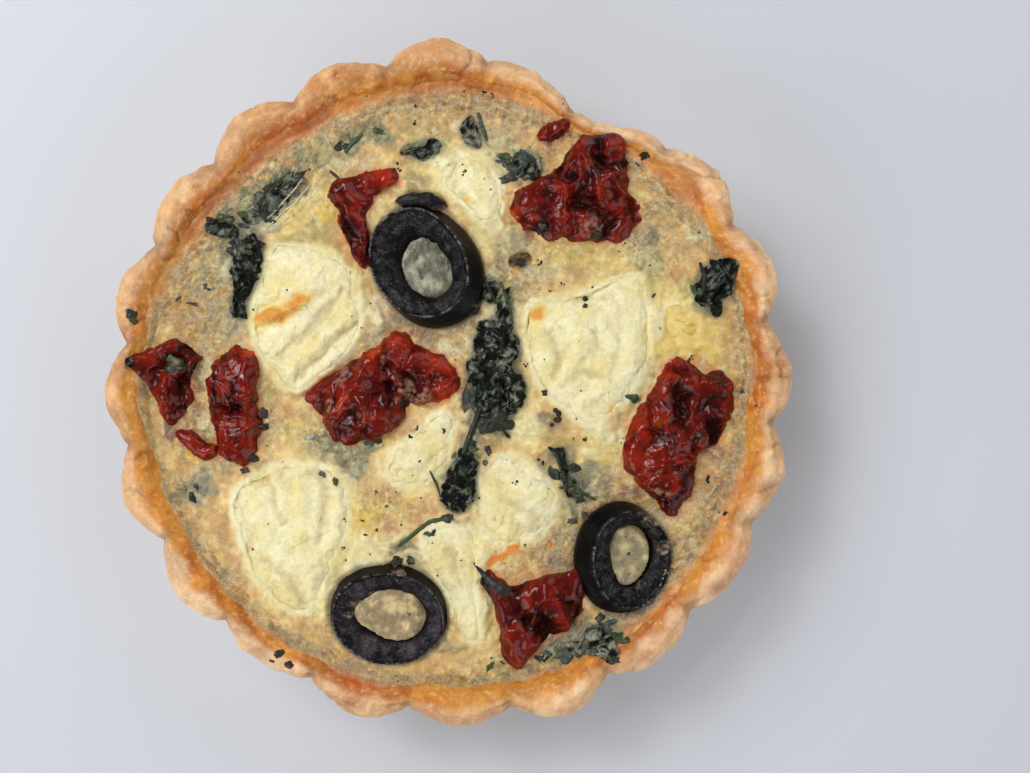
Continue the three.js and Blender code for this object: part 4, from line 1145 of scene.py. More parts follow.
    # the last row of the section meets the first
    j = np.arange(OLIVE_STEPS)
    k = (j + 1) % OLIVE_STEPS
    last = (SECTION_STEPS - 1) * OLIVE_STEPS
    quads = np.vstack([ring_faces(SECTION_STEPS, OLIVE_STEPS),
                       np.stack([last + j, last + k, k, j], 1)])
    smear = spots(p[:, 0], p[:, 1], OLIVE_SMEARS, 46, 0.7) + 0.5 * fbm(p, 0.9, 3, seed + 22)
    smear = smooth(0.25, 0.75, smear) * smooth(0.55, 0.7, level)
    light = smooth(-0.15, 0.35, fbm(p, 0.7, 3, seed + 23))
    tone = mix(tone, mix(linear(74, 58, 58), linear(178, 158, 128), light), 0.85 * smear)
    film = film_over(p, seed + 24, -0.2, 0.5, 0.5) * (1 - smooth(0.3, 0.6, level))
    tone = mix(tone, custard_tone(p) * 0.6, 0.6 * film)
    obj = make_object("baked_" + node, p, quads[:, ::-1])
    paint(obj, tone, gloss=1 - 0.75 * flesh - 0.3 * rim)
    return obj


# pale scraps and custard on the cut faces, as rows for spots()
OLIVE_SMEARS = [
    (364, 604, 12, 5, -14, 1.0), (352, 612, 12, 3, 0, 0.9), (374, 598, 8, 6, 0, 0.8),
    (366, 622, 6, 5, 0, 0.6), (652, 518, 10, 7, -35, 1.1), (664, 546, 9, 5, 20, 1.0),
    (640, 512, 8, 4, 0, 0.6), (398, 568, 8, 5, 0, 0.9), (640, 584, 3, 10, -25, 0.5)]


def build_olive_scrap(node, seed):
    """A loose piece of olive."""
    obj = refined(node, 0.3, 6)
    p, n = points_of(obj), normals_of(obj)
    q = p + n * (0.10 + 0.18 * fbm(p, 1.6, 3, seed))[:, None]
    dark = linear(62, 44, 36)
    if node == "olive_sliver":
        q[:, 1] -= 0.35
        dark = linear(22, 20, 26)
    q[:, :2] += 0.35 * sideways(p, 1.8, 2, seed + 8)
    tone = mix(dark, linear(70, 66, 74), 0.5 * smooth(0.1, 0.6, fbm(q, 0.9, 2, seed + 2)))
    tone = mix(tone, custard_tone(q) * 0.7, 0.7 * film_over(q, seed + 4, 0.0, 0.9, 0.9))
    move_points(obj, q)
    paint(obj, tone, gloss=np.full(len(q), 0.7))
    return obj


def olive_shader():
    s = Shader("black olive", Specular_IOR_Level=0.08, Coat_Roughness=0.12)
    fine = s.noise(0.4, 3, 0.7)
    tone = s.shade(s.tone(), s.spread(fine, 0.3, 1.7))
    scraped = s.times(s.strands(0.7, 0.05), s.remap(s.value("gloss"), 0.2, 0.9, 0.30, 0.0))
    s.link(s.mix(scraped, tone, (0.30, 0.28, 0.30, 1)), "Base Color")
    s.link(s.remap(s.value("gloss"), 0, 1, 0.62, 0.36), "Roughness")
    s.link(s.remap(s.value("gloss"), 0.2, 1, 0.08, 0.20), "Coat Weight")
    s.bumps((fine, 0.09), (s.noise(0.9, 3, 0.6), 0.10))
    return s


# ------------------------------------------------------------------ custard
# some blots below use a dark brown for painted shadows beside the toppings, and for darker custard
SHADES = dict(
    cream=(250, 238, 182), butter=(244, 220, 134), yolk=(240, 200, 88), beige=(222, 178, 112),
    froth=(214, 176, 134), tan=(190, 140, 84), rust=(222, 122, 48), sage=(146, 148, 100),
    moss=(72, 82, 42), slate=(84, 96, 88), haze=(148, 142, 104), pale=(240, 230, 196),
    olive=(170, 154, 84), lilac=(146, 112, 102), wine=(112, 46, 30), umber=(138, 80, 38),
    gold=(200, 150, 74), brown_and_shadow=(112, 96, 68), leaf=(50, 54, 38), light=(246, 228, 158))
LEAFY = ("sage", "moss", "slate", "haze", "leaf")       # marbled, with ragged edges
# blots that are painted over each other: pixel x, y, half width, half height, turn, shade, strength
CUSTARD_BLOTS = [
    (560, 556, 16, 6, 10, "froth", 0.8), (352, 545, 32, 52, 12, "cream", 0.95),
    (372, 578, 18, 18, 0, "cream", 0.8), (330, 600, 22, 26, 0, "cream", 0.7),
    (672, 320, 22, 34, 0, "cream", 0.75), (612, 436, 10, 20, 0, "cream", 0.8),
    (528, 430, 22, 16, 30, "cream", 0.8), (470, 560, 26, 30, 0, "cream", 0.8),
    (482, 610, 12, 26, 0, "cream", 0.7), (470, 170, 34, 26, 0, "cream", 0.85),
    (490, 225, 16, 16, 0, "cream", 0.8), (372, 318, 16, 22, 0, "pale", 0.7),
    (445, 560, 30, 26, 0, "cream", 0.7), (590, 256, 74, 14, 0, "butter", 0.6),
    (590, 252, 60, 10, 0, "yolk", 0.35), (662, 232, 26, 28, 0, "haze", 0.25),
    (652, 268, 16, 32, 0, "sage", 0.8), (660, 285, 12, 16, 0, "olive", 0.7),
    (692, 328, 30, 36, 0, "butter", 0.8), (700, 350, 26, 12, 0, "yolk", 0.7),
    (668, 312, 12, 34, 0, "butter", 0.8), (632, 397, 8, 8, 0, "moss", 0.8),
    (362, 527, 18, 24, 0, "yolk", 0.95), (395, 560, 30, 22, 0, "cream", 0.7),
    (440, 600, 50, 40, 0, "cream", 0.6), (455, 565, 40, 34, 0, "cream", 0.5),
    (448, 545, 7, 20, 0, "olive", 0.5), (480, 620, 24, 46, 0, "butter", 0.5),
    (545, 545, 26, 22, 0, "froth", 0.7), (560, 520, 22, 22, 0, "haze", 0.5),
    (520, 580, 30, 10, 0, "rust", 0.3), (455, 165, 34, 22, 0, "cream", 0.8),
    (425, 182, 40, 16, 0, "butter", 0.6), (430, 128, 34, 14, 0, "olive", 0.45),
    (510, 112, 44, 16, 0, "froth", 0.7), (545, 102, 30, 10, 0, "beige", 0.8),
    (375, 132, 24, 12, 0, "moss", 0.75), (350, 144, 9, 12, 0, "moss", 0.9),
    (325, 157, 20, 15, 0, "sage", 0.75), (345, 165, 22, 8, 0, "pale", 0.5),
    (318, 196, 12, 15, 0, "sage", 0.5), (300, 215, 40, 18, 35, "butter", 0.6),
    (252, 208, 28, 16, 40, "moss", 0.8), (282, 182, 28, 13, 35, "moss", 0.85),
    (226, 226, 18, 11, 0, "moss", 0.85), (248, 240, 18, 20, 0, "slate", 0.9),
    (262, 226, 22, 8, 30, "slate", 0.7), (242, 300, 15, 42, 0, "slate", 0.75),
    (290, 208, 34, 4, 38, "pale", 0.7), (325, 217, 9, 9, 0, "yolk", 0.9),
    (311, 222, 8, 4, 0, "moss", 0.7), (300, 240, 40, 10, 15, "olive", 0.35),
    (216, 268, 20, 28, 0, "sage", 0.55), (222, 265, 8, 8, 0, "pale", 0.5),
    (205, 312, 14, 24, 0, "froth", 0.6), (178, 300, 16, 34, 0, "tan", 0.6),
    (186, 326, 10, 14, 0, "tan", 0.5), (206, 375, 8, 30, 10, "pale", 0.6),
    (203, 428, 13, 12, 0, "pale", 0.9), (196, 455, 13, 6, -20, "yolk", 0.7),
    (264, 396, 14, 16, 0, "olive", 0.6), (275, 425, 18, 14, 0, "haze", 0.6),
    (300, 432, 28, 14, 0, "butter", 0.6), (338, 452, 28, 34, 20, "haze", 0.9),
    (334, 436, 20, 10, 25, "slate", 0.8), (352, 468, 14, 16, 0, "slate", 0.6),
    (372, 444, 16, 6, 10, "moss", 0.9), (472, 445, 12, 30, 15, "sage", 0.75),
    (457, 470, 16, 14, 0, "moss", 0.7), (476, 502, 6, 12, 0, "moss", 0.5),
    (487, 448, 8, 14, 0, "tan", 0.6), (553, 420, 17, 15, 0, "tan", 0.6),
    (545, 394, 18, 10, 0, "tan", 0.45), (548, 441, 44, 8, 0, "yolk", 0.5),
    (592, 450, 26, 14, 0, "butter", 0.7), (586, 478, 12, 20, 0, "slate", 0.8),
    (560, 456, 14, 12, 0, "moss", 0.75), (570, 500, 13, 14, 0, "sage", 0.7),
    (606, 482, 9, 20, 0, "slate", 0.6), (500, 248, 22, 14, 0, "sage", 0.5),
    (495, 298, 7, 24, 0, "pale", 0.8), (480, 335, 14, 12, 0, "sage", 0.6),
    (474, 350, 12, 12, 0, "haze", 0.6), (442, 334, 18, 10, 0, "haze", 0.5),
    (450, 350, 14, 8, 0, "beige", 0.5), (524, 285, 16, 18, 0, "froth", 0.7),
    (545, 272, 20, 10, 0, "pale", 0.5), (485, 140, 22, 20, 0, "haze", 0.6),
    (502, 165, 16, 14, 0, "slate", 0.6), (520, 160, 26, 14, 0, "sage", 0.6),
    (515, 238, 14, 10, 0, "slate", 0.6), (700, 466, 10, 36, 0, "tan", 0.7),
    (718, 470, 12, 44, 0, "tan", 0.6), (704, 540, 14, 28, -30, "tan", 0.6),
    (690, 575, 18, 14, 0, "beige", 0.7), (586, 642, 42, 20, 0, "slate", 0.85),
    (560, 656, 14, 10, 0, "moss", 0.85), (604, 622, 16, 8, 0, "moss", 0.5),
    (640, 620, 20, 14, 0, "beige", 0.8), (450, 662, 34, 12, 0, "beige", 0.7),
    (508, 664, 12, 10, 0, "sage", 0.6), (440, 690, 46, 8, 0, "beige", 0.6),
    (262, 560, 12, 44, -60, "tan", 0.4), (228, 542, 10, 32, 20, "tan", 0.6),
    (200, 488, 13, 16, 0, "slate", 0.8), (214, 466, 16, 10, 0, "haze", 0.6),
    (545, 148, 12, 6, 0, "rust", 0.5), (560, 250, 34, 8, 0, "olive", 0.35),
    (640, 250, 14, 12, 0, "pale", 0.6), (418, 430, 12, 14, 0, "tan", 0.4),
    (395, 440, 14, 14, 0, "yolk", 0.5), (336, 500, 20, 20, 0, "butter", 0.4),
    (355, 225, 16, 22, 0, "beige", 0.4), (352, 250, 10, 14, 0, "rust", 0.4),
    (404, 470, 30, 12, 0, "cream", 0.5), (520, 430, 20, 14, 0, "cream", 0.7),
    (500, 440, 20, 8, 0, "olive", 0.4), (376, 330, 14, 20, 0, "froth", 0.6),
    (235, 420, 6, 30, 0, "rust", 0.4), (262, 470, 8, 14, 0, "haze", 0.4),
    (640, 500, 18, 12, 0, "beige", 0.6), (300, 240, 26, 9, 15, "olive", 0.6),
    (432, 345, 14, 9, -20, "haze", 0.7), (416, 323, 26, 7, -10, "brown_and_shadow", 0.8),
    (560, 268, 22, 8, 0, "olive", 0.4), (640, 237, 16, 7, 0, "brown_and_shadow", 0.45),
    (680, 248, 14, 12, 0, "beige", 0.6), (700, 308, 13, 8, 0, "haze", 0.9),
    (690, 338, 18, 12, 0, "yolk", 0.8), (727, 330, 9, 22, 0, "gold", 0.7),
    (600, 442, 12, 7, 0, "cream", 0.6), (562, 443, 18, 8, 0, "olive", 0.7),
    (549, 420, 13, 11, 0, "brown_and_shadow", 0.75), (480, 425, 8, 13, 10, "leaf", 1.0),
    (474, 440, 6, 14, 12, "leaf", 0.9), (400, 433, 14, 7, 0, "tan", 0.6),
    (352, 546, 14, 14, 0, "light", 0.9), (420, 560, 13, 12, 0, "haze", 0.6),
    (450, 646, 16, 9, 0, "brown_and_shadow", 0.6), (470, 520, 12, 14, 0, "olive", 0.5),
    (450, 684, 26, 6, 0, "gold", 0.8), (410, 182, 20, 9, 0, "brown_and_shadow", 0.6),
    (388, 212, 12, 16, 0, "light", 0.7), (450, 150, 16, 8, 0, "haze", 0.45),
    (330, 462, 18, 14, 0, "haze", 0.5), (518, 405, 8, 10, 0, "brown_and_shadow", 0.7),
    (536, 388, 10, 8, 0, "gold", 0.7), (218, 318, 12, 26, 0, "haze", 0.5),
    (684, 220, 14, 12, 0, "beige", 0.7), (690, 338, 18, 12, 0, "yolk", 0.8),
    (400, 690, 20, 6, 0, "beige", 0.6), (480, 400, 7, 30, 0, "leaf", 0.6),
    (512, 300, 8, 24, 0, "sage", 0.7), (500, 266, 10, 12, 0, "leaf", 0.6),
    (524, 330, 5, 40, 0, "sage", 0.5), (484, 290, 8, 12, 0, "leaf", 0.8),
    (236, 255, 16, 26, -15, "leaf", 0.7), (268, 196, 34, 10, 38, "leaf", 0.7),
    (226, 228, 16, 9, 0, "leaf", 0.7), (246, 300, 12, 34, 0, "leaf", 0.6),
    (575, 482, 10, 26, 40, "leaf", 0.75), (590, 640, 30, 12, 10, "leaf", 0.5),
    (458, 480, 15, 26, 25, "leaf", 0.7), (446, 519, 8, 4, -10, "leaf", 0.9),
    (508, 178, 9, 6, 0, "leaf", 0.8), (552, 472, 8, 8, 0, "leaf", 0.8),
    (230, 268, 8, 8, 0, "pale", 0.7), (464, 127, 9, 8, 0, "pale", 0.6),
    (337, 142, 8, 6, 0, "pale", 0.6), (192, 404, 6, 14, 0, "brown_and_shadow", 0.8),
    (183, 436, 8, 4, -20, "rust", 0.8), (416, 429, 14, 5, 0, "tan", 0.9),
    (650, 366, 6, 10, 0, "cream", 0.9), (648, 386, 6, 8, 0, "cream", 1.0),
    (528, 396, 10, 22, -10, "light", 0.7), (530, 440, 16, 8, 0, "light", 0.6),
    (446, 352, 14, 8, 0, "pale", 0.7), (488, 326, 5, 10, 0, "pale", 0.6),
    (560, 567, 16, 7, -10, "lilac", 0.85), (476, 345, 12, 8, 0, "pale", 0.6),
    (468, 410, 5, 20, 8, "leaf", 0.8), (462, 448, 5, 10, 12, "leaf", 0.8),
    (262, 195, 24, 11, 38, "sage", 0.8), (240, 222, 17, 8, 8, "moss", 0.9),
    (214, 227, 9, 7, 0, "leaf", 0.9), (278, 180, 20, 6, 36, "leaf", 0.9),
    (268, 210, 8, 14, -15, "moss", 0.9), (296, 196, 16, 4, 50, "leaf", 0.7),
    (175, 427, 10, 7, -50, "wine", 0.95), (189, 431, 9, 5, -20, "wine", 0.8),
    (201, 441, 9, 5, -35, "wine", 0.6), (441, 458, 6, 9, 0, "cream", 0.9),
    (456, 521, 8, 4, 0, "brown_and_shadow", 0.9), (398, 549, 12, 5, 10, "brown_and_shadow", 0.9),
    (458, 622, 7, 14, 0, "gold", 0.7), (383, 138, 9, 7, 0, "moss", 0.9),
    (477, 507, 7, 10, 0, "olive", 0.9), (257, 463, 9, 5, 0, "brown_and_shadow", 0.9),
    (183, 489, 8, 8, 0, "brown_and_shadow", 0.8), (400, 180, 7, 5, 0, "rust", 0.8),
    (654, 232, 7, 8, 0, "brown_and_shadow", 0.9), (697, 230, 10, 9, 0, "pale", 0.9),
    (701, 317, 12, 6, 0, "brown_and_shadow", 0.8), (484, 232, 8, 30, 0, "light", 0.8),
    (368, 203, 9, 12, -20, "light", 0.7), (476, 312, 6, 8, 0, "brown_and_shadow", 0.8),
    (560, 236, 26, 6, 0, "light", 0.5), (600, 272, 30, 7, 0, "olive", 0.4),
    # the wine blot at 464, 388 is a painted shadow beside a tomato
    (400, 322, 20, 5, 20, "brown_and_shadow", 0.7), (464, 388, 5, 10, 0, "wine", 0.8),
    (715, 448, 8, 10, 0, "umber", 0.8), (530, 664, 8, 5, 0, "brown_and_shadow", 0.8),
    (632, 491, 9, 6, 0, "umber", 0.8), (510, 143, 9, 7, 0, "haze", 0.8),
    (544, 146, 7, 5, 0, "umber", 0.9), (528, 232, 6, 6, 0, "umber", 0.9),
    (576, 619, 10, 8, 0, "brown_and_shadow", 0.9), (575, 507, 7, 6, 0, "leaf", 0.8),
    (542, 466, 6, 5, 0, "moss", 0.7), (408, 545, 9, 4, 0, "brown_and_shadow", 0.9),
    # the umber blot at 426, 336 is a painted shadow below the top olive ring
    (426, 336, 22, 6, -12, "umber", 0.7), (468, 320, 8, 12, -40, "brown_and_shadow", 0.8),
    (197, 384, 6, 10, 0, "umber", 0.9), (196, 414, 6, 8, 0, "umber", 0.6),
    (514, 221, 7, 6, 0, "umber", 0.9), (557, 153, 7, 5, 0, "umber", 0.7),
    (650, 212, 8, 6, 0, "umber", 0.6), (259, 461, 9, 5, 0, "umber", 0.6),
    (488, 467, 6, 8, 0, "haze", 0.8), (458, 622, 8, 14, 0, "gold", 0.8),
    (684, 288, 8, 7, 0, "olive", 0.8), (183, 498, 9, 9, 0, "brown_and_shadow", 0.6),
    (202, 241, 8, 10, 30, "umber", 0.6), (703, 361, 9, 6, 0, "gold", 0.9),
    (660, 520, 16, 10, 0, "pale", 0.5), (700, 560, 16, 12, -40, "pale", 0.5),
    (690, 500, 10, 16, 0, "froth", 0.5), (610, 655, 20, 8, 15, "pale", 0.5)]
# places where the skin is a fine froth, as rows for spots()
FROTH = [
    (530, 108, 50, 18, 0, 1.0), (545, 545, 30, 24, 0, 1.0), (300, 165, 50, 20, 35, 0.9),
    (200, 300, 22, 60, 0, 0.9), (380, 500, 26, 16, 0, 0.6), (640, 240, 26, 22, 0, 0.8),
    (520, 280, 24, 18, 0, 0.7), (330, 440, 30, 24, 0, 0.8), (700, 540, 26, 40, -30, 0.8),
    (440, 690, 60, 12, 0, 0.8), (200, 440, 30, 20, 0, 0.7), (490, 445, 14, 20, 0, 0.6),
    (590, 500, 26, 20, 0, 0.8), (640, 500, 30, 16, 0, 0.8), (375, 345, 14, 26, 0, 0.6),
    (560, 655, 50, 20, 0, 0.6)]


# curds that only show as soft lumps in the custard, in rows of the same kind
CURDS = [
    (364, 562, 20, 34, 8, 1.1), (608, 423, 14, 19, 0, 1.1), (470, 562, 22, 24, 0, 1.0),
    (483, 612, 11, 28, 0, 0.9), (492, 222, 13, 17, 0, 1.0), (440, 160, 18, 11, 0, 0.8),
    (376, 318, 8, 16, 0, 0.8), (592, 452, 15, 8, 0, 0.8), (332, 602, 16, 22, 0, 0.9),
    (656, 330, 11, 34, 0, 0.9), (502, 520, 10, 16, 0, 0.8)]
YELLOW_CURDS = [(692, 330, 24, 22, 0, 1.1), (668, 350, 14, 14, 0, 0.9)]
ORANGE_SPOTS = [
    (495, 558, 10, 5, 25, 1.3), (513, 549, 9, 5, 30, 1.3), (504, 553, 6, 4, 20, 1.2),
    (549, 542, 4, 3, 0, 1.3)]
# places where no cream shows round the cheese
BARE_SKIN = [
    (300, 236, 34, 9, 15, 1.2), (350, 262, 12, 14, 0, 1.0), (700, 306, 14, 9, 0, 1.2),
    (430, 345, 16, 10, 0, 1.2), (560, 258, 50, 8, 0, 1.0), (262, 385, 12, 16, 0, 1.0),
    (400, 432, 14, 7, 0, 1.0), (362, 528, 9, 10, 0, 1.0), (420, 556, 12, 12, 0, 1.1),
    (470, 520, 10, 12, 0, 0.8), (541, 556, 20, 12, 0, 1.2), (412, 182, 18, 9, 0, 1.2),
    (522, 392, 14, 30, 0, 0.5), (416, 429, 12, 5, 0, 1.2), (456, 521, 8, 4, 0, 1.3),
    (398, 549, 14, 6, 0, 1.2), (458, 622, 9, 15, 0, 1.3), (488, 467, 7, 9, 0, 1.1),
    (684, 288, 9, 8, 0, 1.1), (703, 361, 10, 7, 0, 1.0), (477, 507, 8, 11, 0, 1.1),
    (549, 420, 14, 12, 0, 1.2), (640, 240, 20, 12, 0, 1.0), (236, 470, 14, 8, 0, 0.8)]


def custard_level(x, y):
    """The swell of the custard's surface, and its climb to the case."""
    climb = 0.25 * np.minimum(np.hypot(x, y) / 46.3, 1) ** 6
    return CUSTARD_LEVEL + climb + 0.28 * noise(flat_points(x, y), 15, 61)


def custard_tone(points):
    """Colour of the custard's skin at any place seen from above."""
    x, y = points[:, 0], points[:, 1]
    flat = flat_points(x, y)
    u, angle = rim_share(x, y)
    mid, fine = fbm(flat, 3.0, 3, 71), fbm(flat, 0.7, 3, 72)
    mottle = fbm(warped(flat, 2.2, 1.1, 83), 1.6, 3, 84)
    shade = {name: linear(*value) for name, value in SHADES.items()}
    tone = mix(linear(224, 180, 112), linear(240, 210, 138), smooth(-0.1, 0.5, mid + 0.7 * mottle))
    tone = mix(tone, shade["tan"], 0.7 * smooth(-0.1, 0.4, -mid + 0.7 * mottle))
    rim = smooth(-0.8, -0.05, u + 0.25 * mid)
    tone = mix(tone, shade["froth"], 0.65 * rim)
    drawn = fbm(round_the_rim(x, y, 3.4, 0.7), 1, 3, 73)
    tone = mix(tone, linear(190, 140, 84), 0.75 * rim * smooth(-0.05, 0.4, drawn + 0.3 * mid))
    tone = mix(tone, shade["pale"], 0.7 * rim * smooth(0.12, 0.45, -drawn - 0.15 * mid))
    wandering = warped(flat, 2.6, 1.3, 75)
    ragged = fbm(flat, 1.5, 3, 76)
    marbling = 0.55 * ridges(warped(flat, 1.6, 0.9, 79), 1.7, 2, 80)
    marbling += 0.45 * (0.5 + fbm(flat, 0.9, 2, 82))
    for px, py, wide, high, turn, name, strength in CUSTARD_BLOTS:
        reach = 2.2 * max(wide, high) * PIXEL
        cx, cy = at(px, py)
        near = np.flatnonzero((np.abs(x - cx) < reach) & (np.abs(y - cy) < reach))
        if not len(near):
            continue
        place = spot(wandering[near], px, py, wide * 1.15, high * 1.15, turn)
        own = shade[name]
        if name in LEAFY:
            colour = mix(own * 0.45, own * 1.7 + 0.07, smooth(0.25, 0.75, marbling[near]))
            share = smooth(0.25, 0.75, place + 0.5 * ragged[near])
        else:
            colour = mix(own * 0.86, own * 1.04, smooth(-0.4, 0.3, mottle[near]))
            share = smooth(0.22, 0.72, place + 0.34 * ragged[near])
        tone[near] = mix(tone[near], colour, strength * share)
    slope, _ = slope_tone(x, y, u, angle, mid)
    tone = mix(tone, slope, smooth(-0.12, 0.24, u + 0.22 * mid))
    patch = fbm(warped(flat, 2.0, 1.0, 105), 1.25, 2, 106) * smooth(0.1, -0.15, u)
    tone = mix(tone, linear(240, 222, 172), 0.50 * smooth(0.12, 0.42, patch))
    tone = mix(tone, linear(172, 142, 66), 0.36 * smooth(0.12, 0.42, -patch))
    return tone * (1 + 0.12 * fine)[:, None]


def survey(crust, toppings, kinds):
    """Maps from above that the custard needs."""
    top, owner = height_map(toppings)
    under, _ = height_map(toppings, upward=True)
    case, _ = height_map([crust])
    masks = {kind: np.isin(owner, numbers).astype(float) for kind, numbers in kinds.items()}
    return dict(top=top, under=under, owner=owner, case=case, masks=masks)


CUSTARD_STEPS = 400     # points along each side of the square grid that is drawn into a disc
EDGE_STEPS = 720
# rings of the custard's hidden outside: radius, or its distance from the wall, and height
CUSTARD_SIDE = [(-0.3, 21.8), (-3.2, 14.5)]
CUSTARD_UNDER = [(38.1, 5.0), (37.6, 4.3), (24.0, 4.3), (9.0, 4.3)]


def from_ring(ring, x, y):
    """Distance from the middle of an olive ring."""
    return np.hypot(x - ring["at"][0] - PART_SHIFT[0], y - ring["at"][1] - PART_SHIFT[1])


def build_custard(maps):
    """The custard: a fine skin that laps over its neighbours, and its hidden outside."""
    n = CUSTARD_STEPS
    line = np.linspace(-1, 1, n + 1)
    a, b = np.meshgrid(line, line)
    wide = np.abs(a) > np.abs(b)
    r = np.where(wide, a, b)
    safe_a, safe_b = np.where(a == 0, 1, a), np.where(b == 0, 1, b)
    phi = np.where(wide, np.pi / 4 * b / safe_a, np.pi / 2 - np.pi / 4 * a / safe_b)
    ux, uy = (r * np.cos(phi)).ravel(), (r * np.sin(phi)).ravel()
    angle, out = np.arctan2(uy, ux), np.hypot(ux, uy)

    # the radius where the custard thins out on the slope of the case, for every angle
    turns = np.linspace(-np.pi, np.pi, EDGE_STEPS + 1)[:-1]
    radii = np.arange(40, 53.5, 0.1)
    px = radii[:, None] * np.cos(turns)
    py = radii[:, None] * np.sin(turns)
    slope = sample(blur(maps["case"], 0.25), px.ravel(), py.ravel()).reshape(px.shape)
    level = custard_level(px.ravel(), py.ravel()).reshape(px.shape)
    crest = radii[np.argmax(slope, axis=0)]
    above = (slope > level + 2.3) & (radii[:, None] > 43)
    first = np.where(above.any(0), radii[np.argmax(above, axis=0)], 99)
    wall = radii[np.argmax((slope > level) & (radii[:, None] > 43), axis=0)]
    edge = blur_round(np.minimum(first, crest - 0.5), 3)
    wall = blur_round(wall, 3)
    reach = np.interp(angle, np.append(turns, np.pi), np.append(edge, edge[0]))
    x, y = ux * reach, uy * reach
    flat = flat_points(x, y)
    u, _ = rim_share(x, y)
    u_edge = rim_share(np.cos(angle) * reach, np.sin(angle) * reach)[0]

    # where toppings stand, how far they stand up, and how the custard rises against them
    inside = (maps["owner"] >= 0).astype(float)
    deep = smooth(0.93, 0.995, sample(blur(inside, 0.5), x, y))
    bare = custard_level(GRID_X.ravel(), GRID_Y.ravel()).reshape(GRID_X.shape)
    cheese = maps["masks"]["cheese"]
    held = cheese + maps["masks"]["spinach"] + 0.35 * maps["masks"]["tomato"]
    step = held * np.clip(maps["top"] - bare, 0, 1.8)
    close_by = sample(blur(cheese, 0.9), x, y)
    lap_in = close_by + 0.34 * fbm(flat, 3.4, 3, 95)
    deep *= np.maximum(smooth(0.88, 0.98, lap_in), 1 - smooth(0.02, 0.3, close_by))
    stand = blur(cheese * np.clip(maps["top"] - bare, 0, 2.2), 2.2)
    stand /= np.maximum(blur(cheese, 2.2), 0.05)
    skirt = sample(blur(cheese, 1.5), x, y) + 0.10 * fbm(flat, 1.6, 2, 90)
    skirt = sample(stand, x, y) * smooth(0.02, 0.66, skirt)
    ramp = np.maximum(sample(blur(step, 0.7), x, y), 0.95 * skirt)
    calm = sample(blur(cheese, 2.0), x, y)
    ragged = 0.12 * fbm(flat, 1.6, 2, 99)
    curds = smooth(0.3, 0.75, spots(x, y, CURDS, 98, 0.9) + ragged)
    yellow = smooth(0.3, 0.75, spots(x, y, YELLOW_CURDS, 98, 0.9) + ragged)

    # the skin's relief
    quiet = np.maximum(np.maximum(curds, yellow), smooth(0.14, 0.48, close_by))
    froth = 0.26 + smooth(-0.9, -0.1, u) + spots(x, y, FROTH, 68, 1.2) - 1.2 * calm
    froth = np.clip(froth, 0.06, 1)
    froth *= (1 - 0.88 * quiet) * (1 - 0.65 * smooth(-0.08, 0.25, u))
    wrinkle = warped(round_the_rim(x, y, 2.3, 0.95), 2.0, 0.5, 62)
    wrinkle = ridges(wrinkle, 1.0, 3, 63) - 0.55
    crinkle = ridges(warped(flat, 1.5, 0.9, 85), 1.25, 2, 86) - 0.55
    reach, kind = cells(flat + (0, 0, 0.5), 1.25, 65)
    bubbles = domes(reach, 0.5) * (kind > 0.45)
    z = custard_level(x, y) + 0.32 * fbm(flat, 5.0, 2, 64) + 0.10 * fbm(flat, 1.4, 2, 69)
    z += (0.48 * wrinkle + 0.16 * crinkle + 0.18 * bubbles) * froth + 0.05 * fbm(flat, 0.6, 2, 66)
    folded = 0.16 * crinkle * smooth(-0.2, 0.3, fbm(flat, 6, 2, 87)) * (1 - 0.7 * quiet)
    z += folded + 0.9 * ramp
    soft = 0.32 * (ridges(warped(flat, 4.0, 1.4, 55), 5.0, 2, 56) - 0.6)
    soft += 0.26 * fbm(flat, 2.2, 3, 57)
    pressed = 0.7 * strokes(x, y, CHEESE_FOLDS, 58) * quiet
    z += quiet * soft + 0.65 * np.maximum(curds, yellow) + pressed
    over = blur(cheese * maps["top"], 0.5) / np.maximum(blur(cheese, 0.5), 0.02)
    lap = sample(over, x, y) + 0.12 + 0.10 * fbm(flat, 1.6, 2, 96)
    lap = lap - 0.65 * smooth(0.45, 0.95, lap_in)
    z += np.maximum(lap - z, 0) * smooth(0.18, 0.45, close_by)
    wavy = 0.35 * creased(warped(flat, 2, 0.8, 70), 1.8, 71)
    for ring in OLIVE_RINGS.values():
        here = smooth(5.8, 4.6, from_ring(ring, x, y))
        z = z * (1 - here) + here * (CUSTARD_LEVEL + ring["lift"] + wavy * ring["froth"])
    z += 2.1 * np.clip(u / np.maximum(u_edge, 0.2), 0, 1) ** 1.6

    # the film on the case's slope, and what hides under the toppings
    shore = sample(maps["case"], x, y)
    film = 0.24 + 0.20 * fbm(flat, 1.8, 3, 67) - 0.9 * smooth(0.955, 1.0, out)
    z = np.where(out > 0.8, np.maximum(z - 3.0 * smooth(0.97, 1.0, out), shore + film), z)
    under = sample(blur(maps["under"], 0.2), x, y) - 0.25
    z = z * (1 - deep) + np.minimum(z, under) * deep
    rim_vertex = np.isclose(np.maximum(np.abs(a), np.abs(b)), 1).ravel()
    z = np.where(rim_vertex, np.minimum(z, shore - 0.3), z)
    points = np.column_stack([x, y, z])

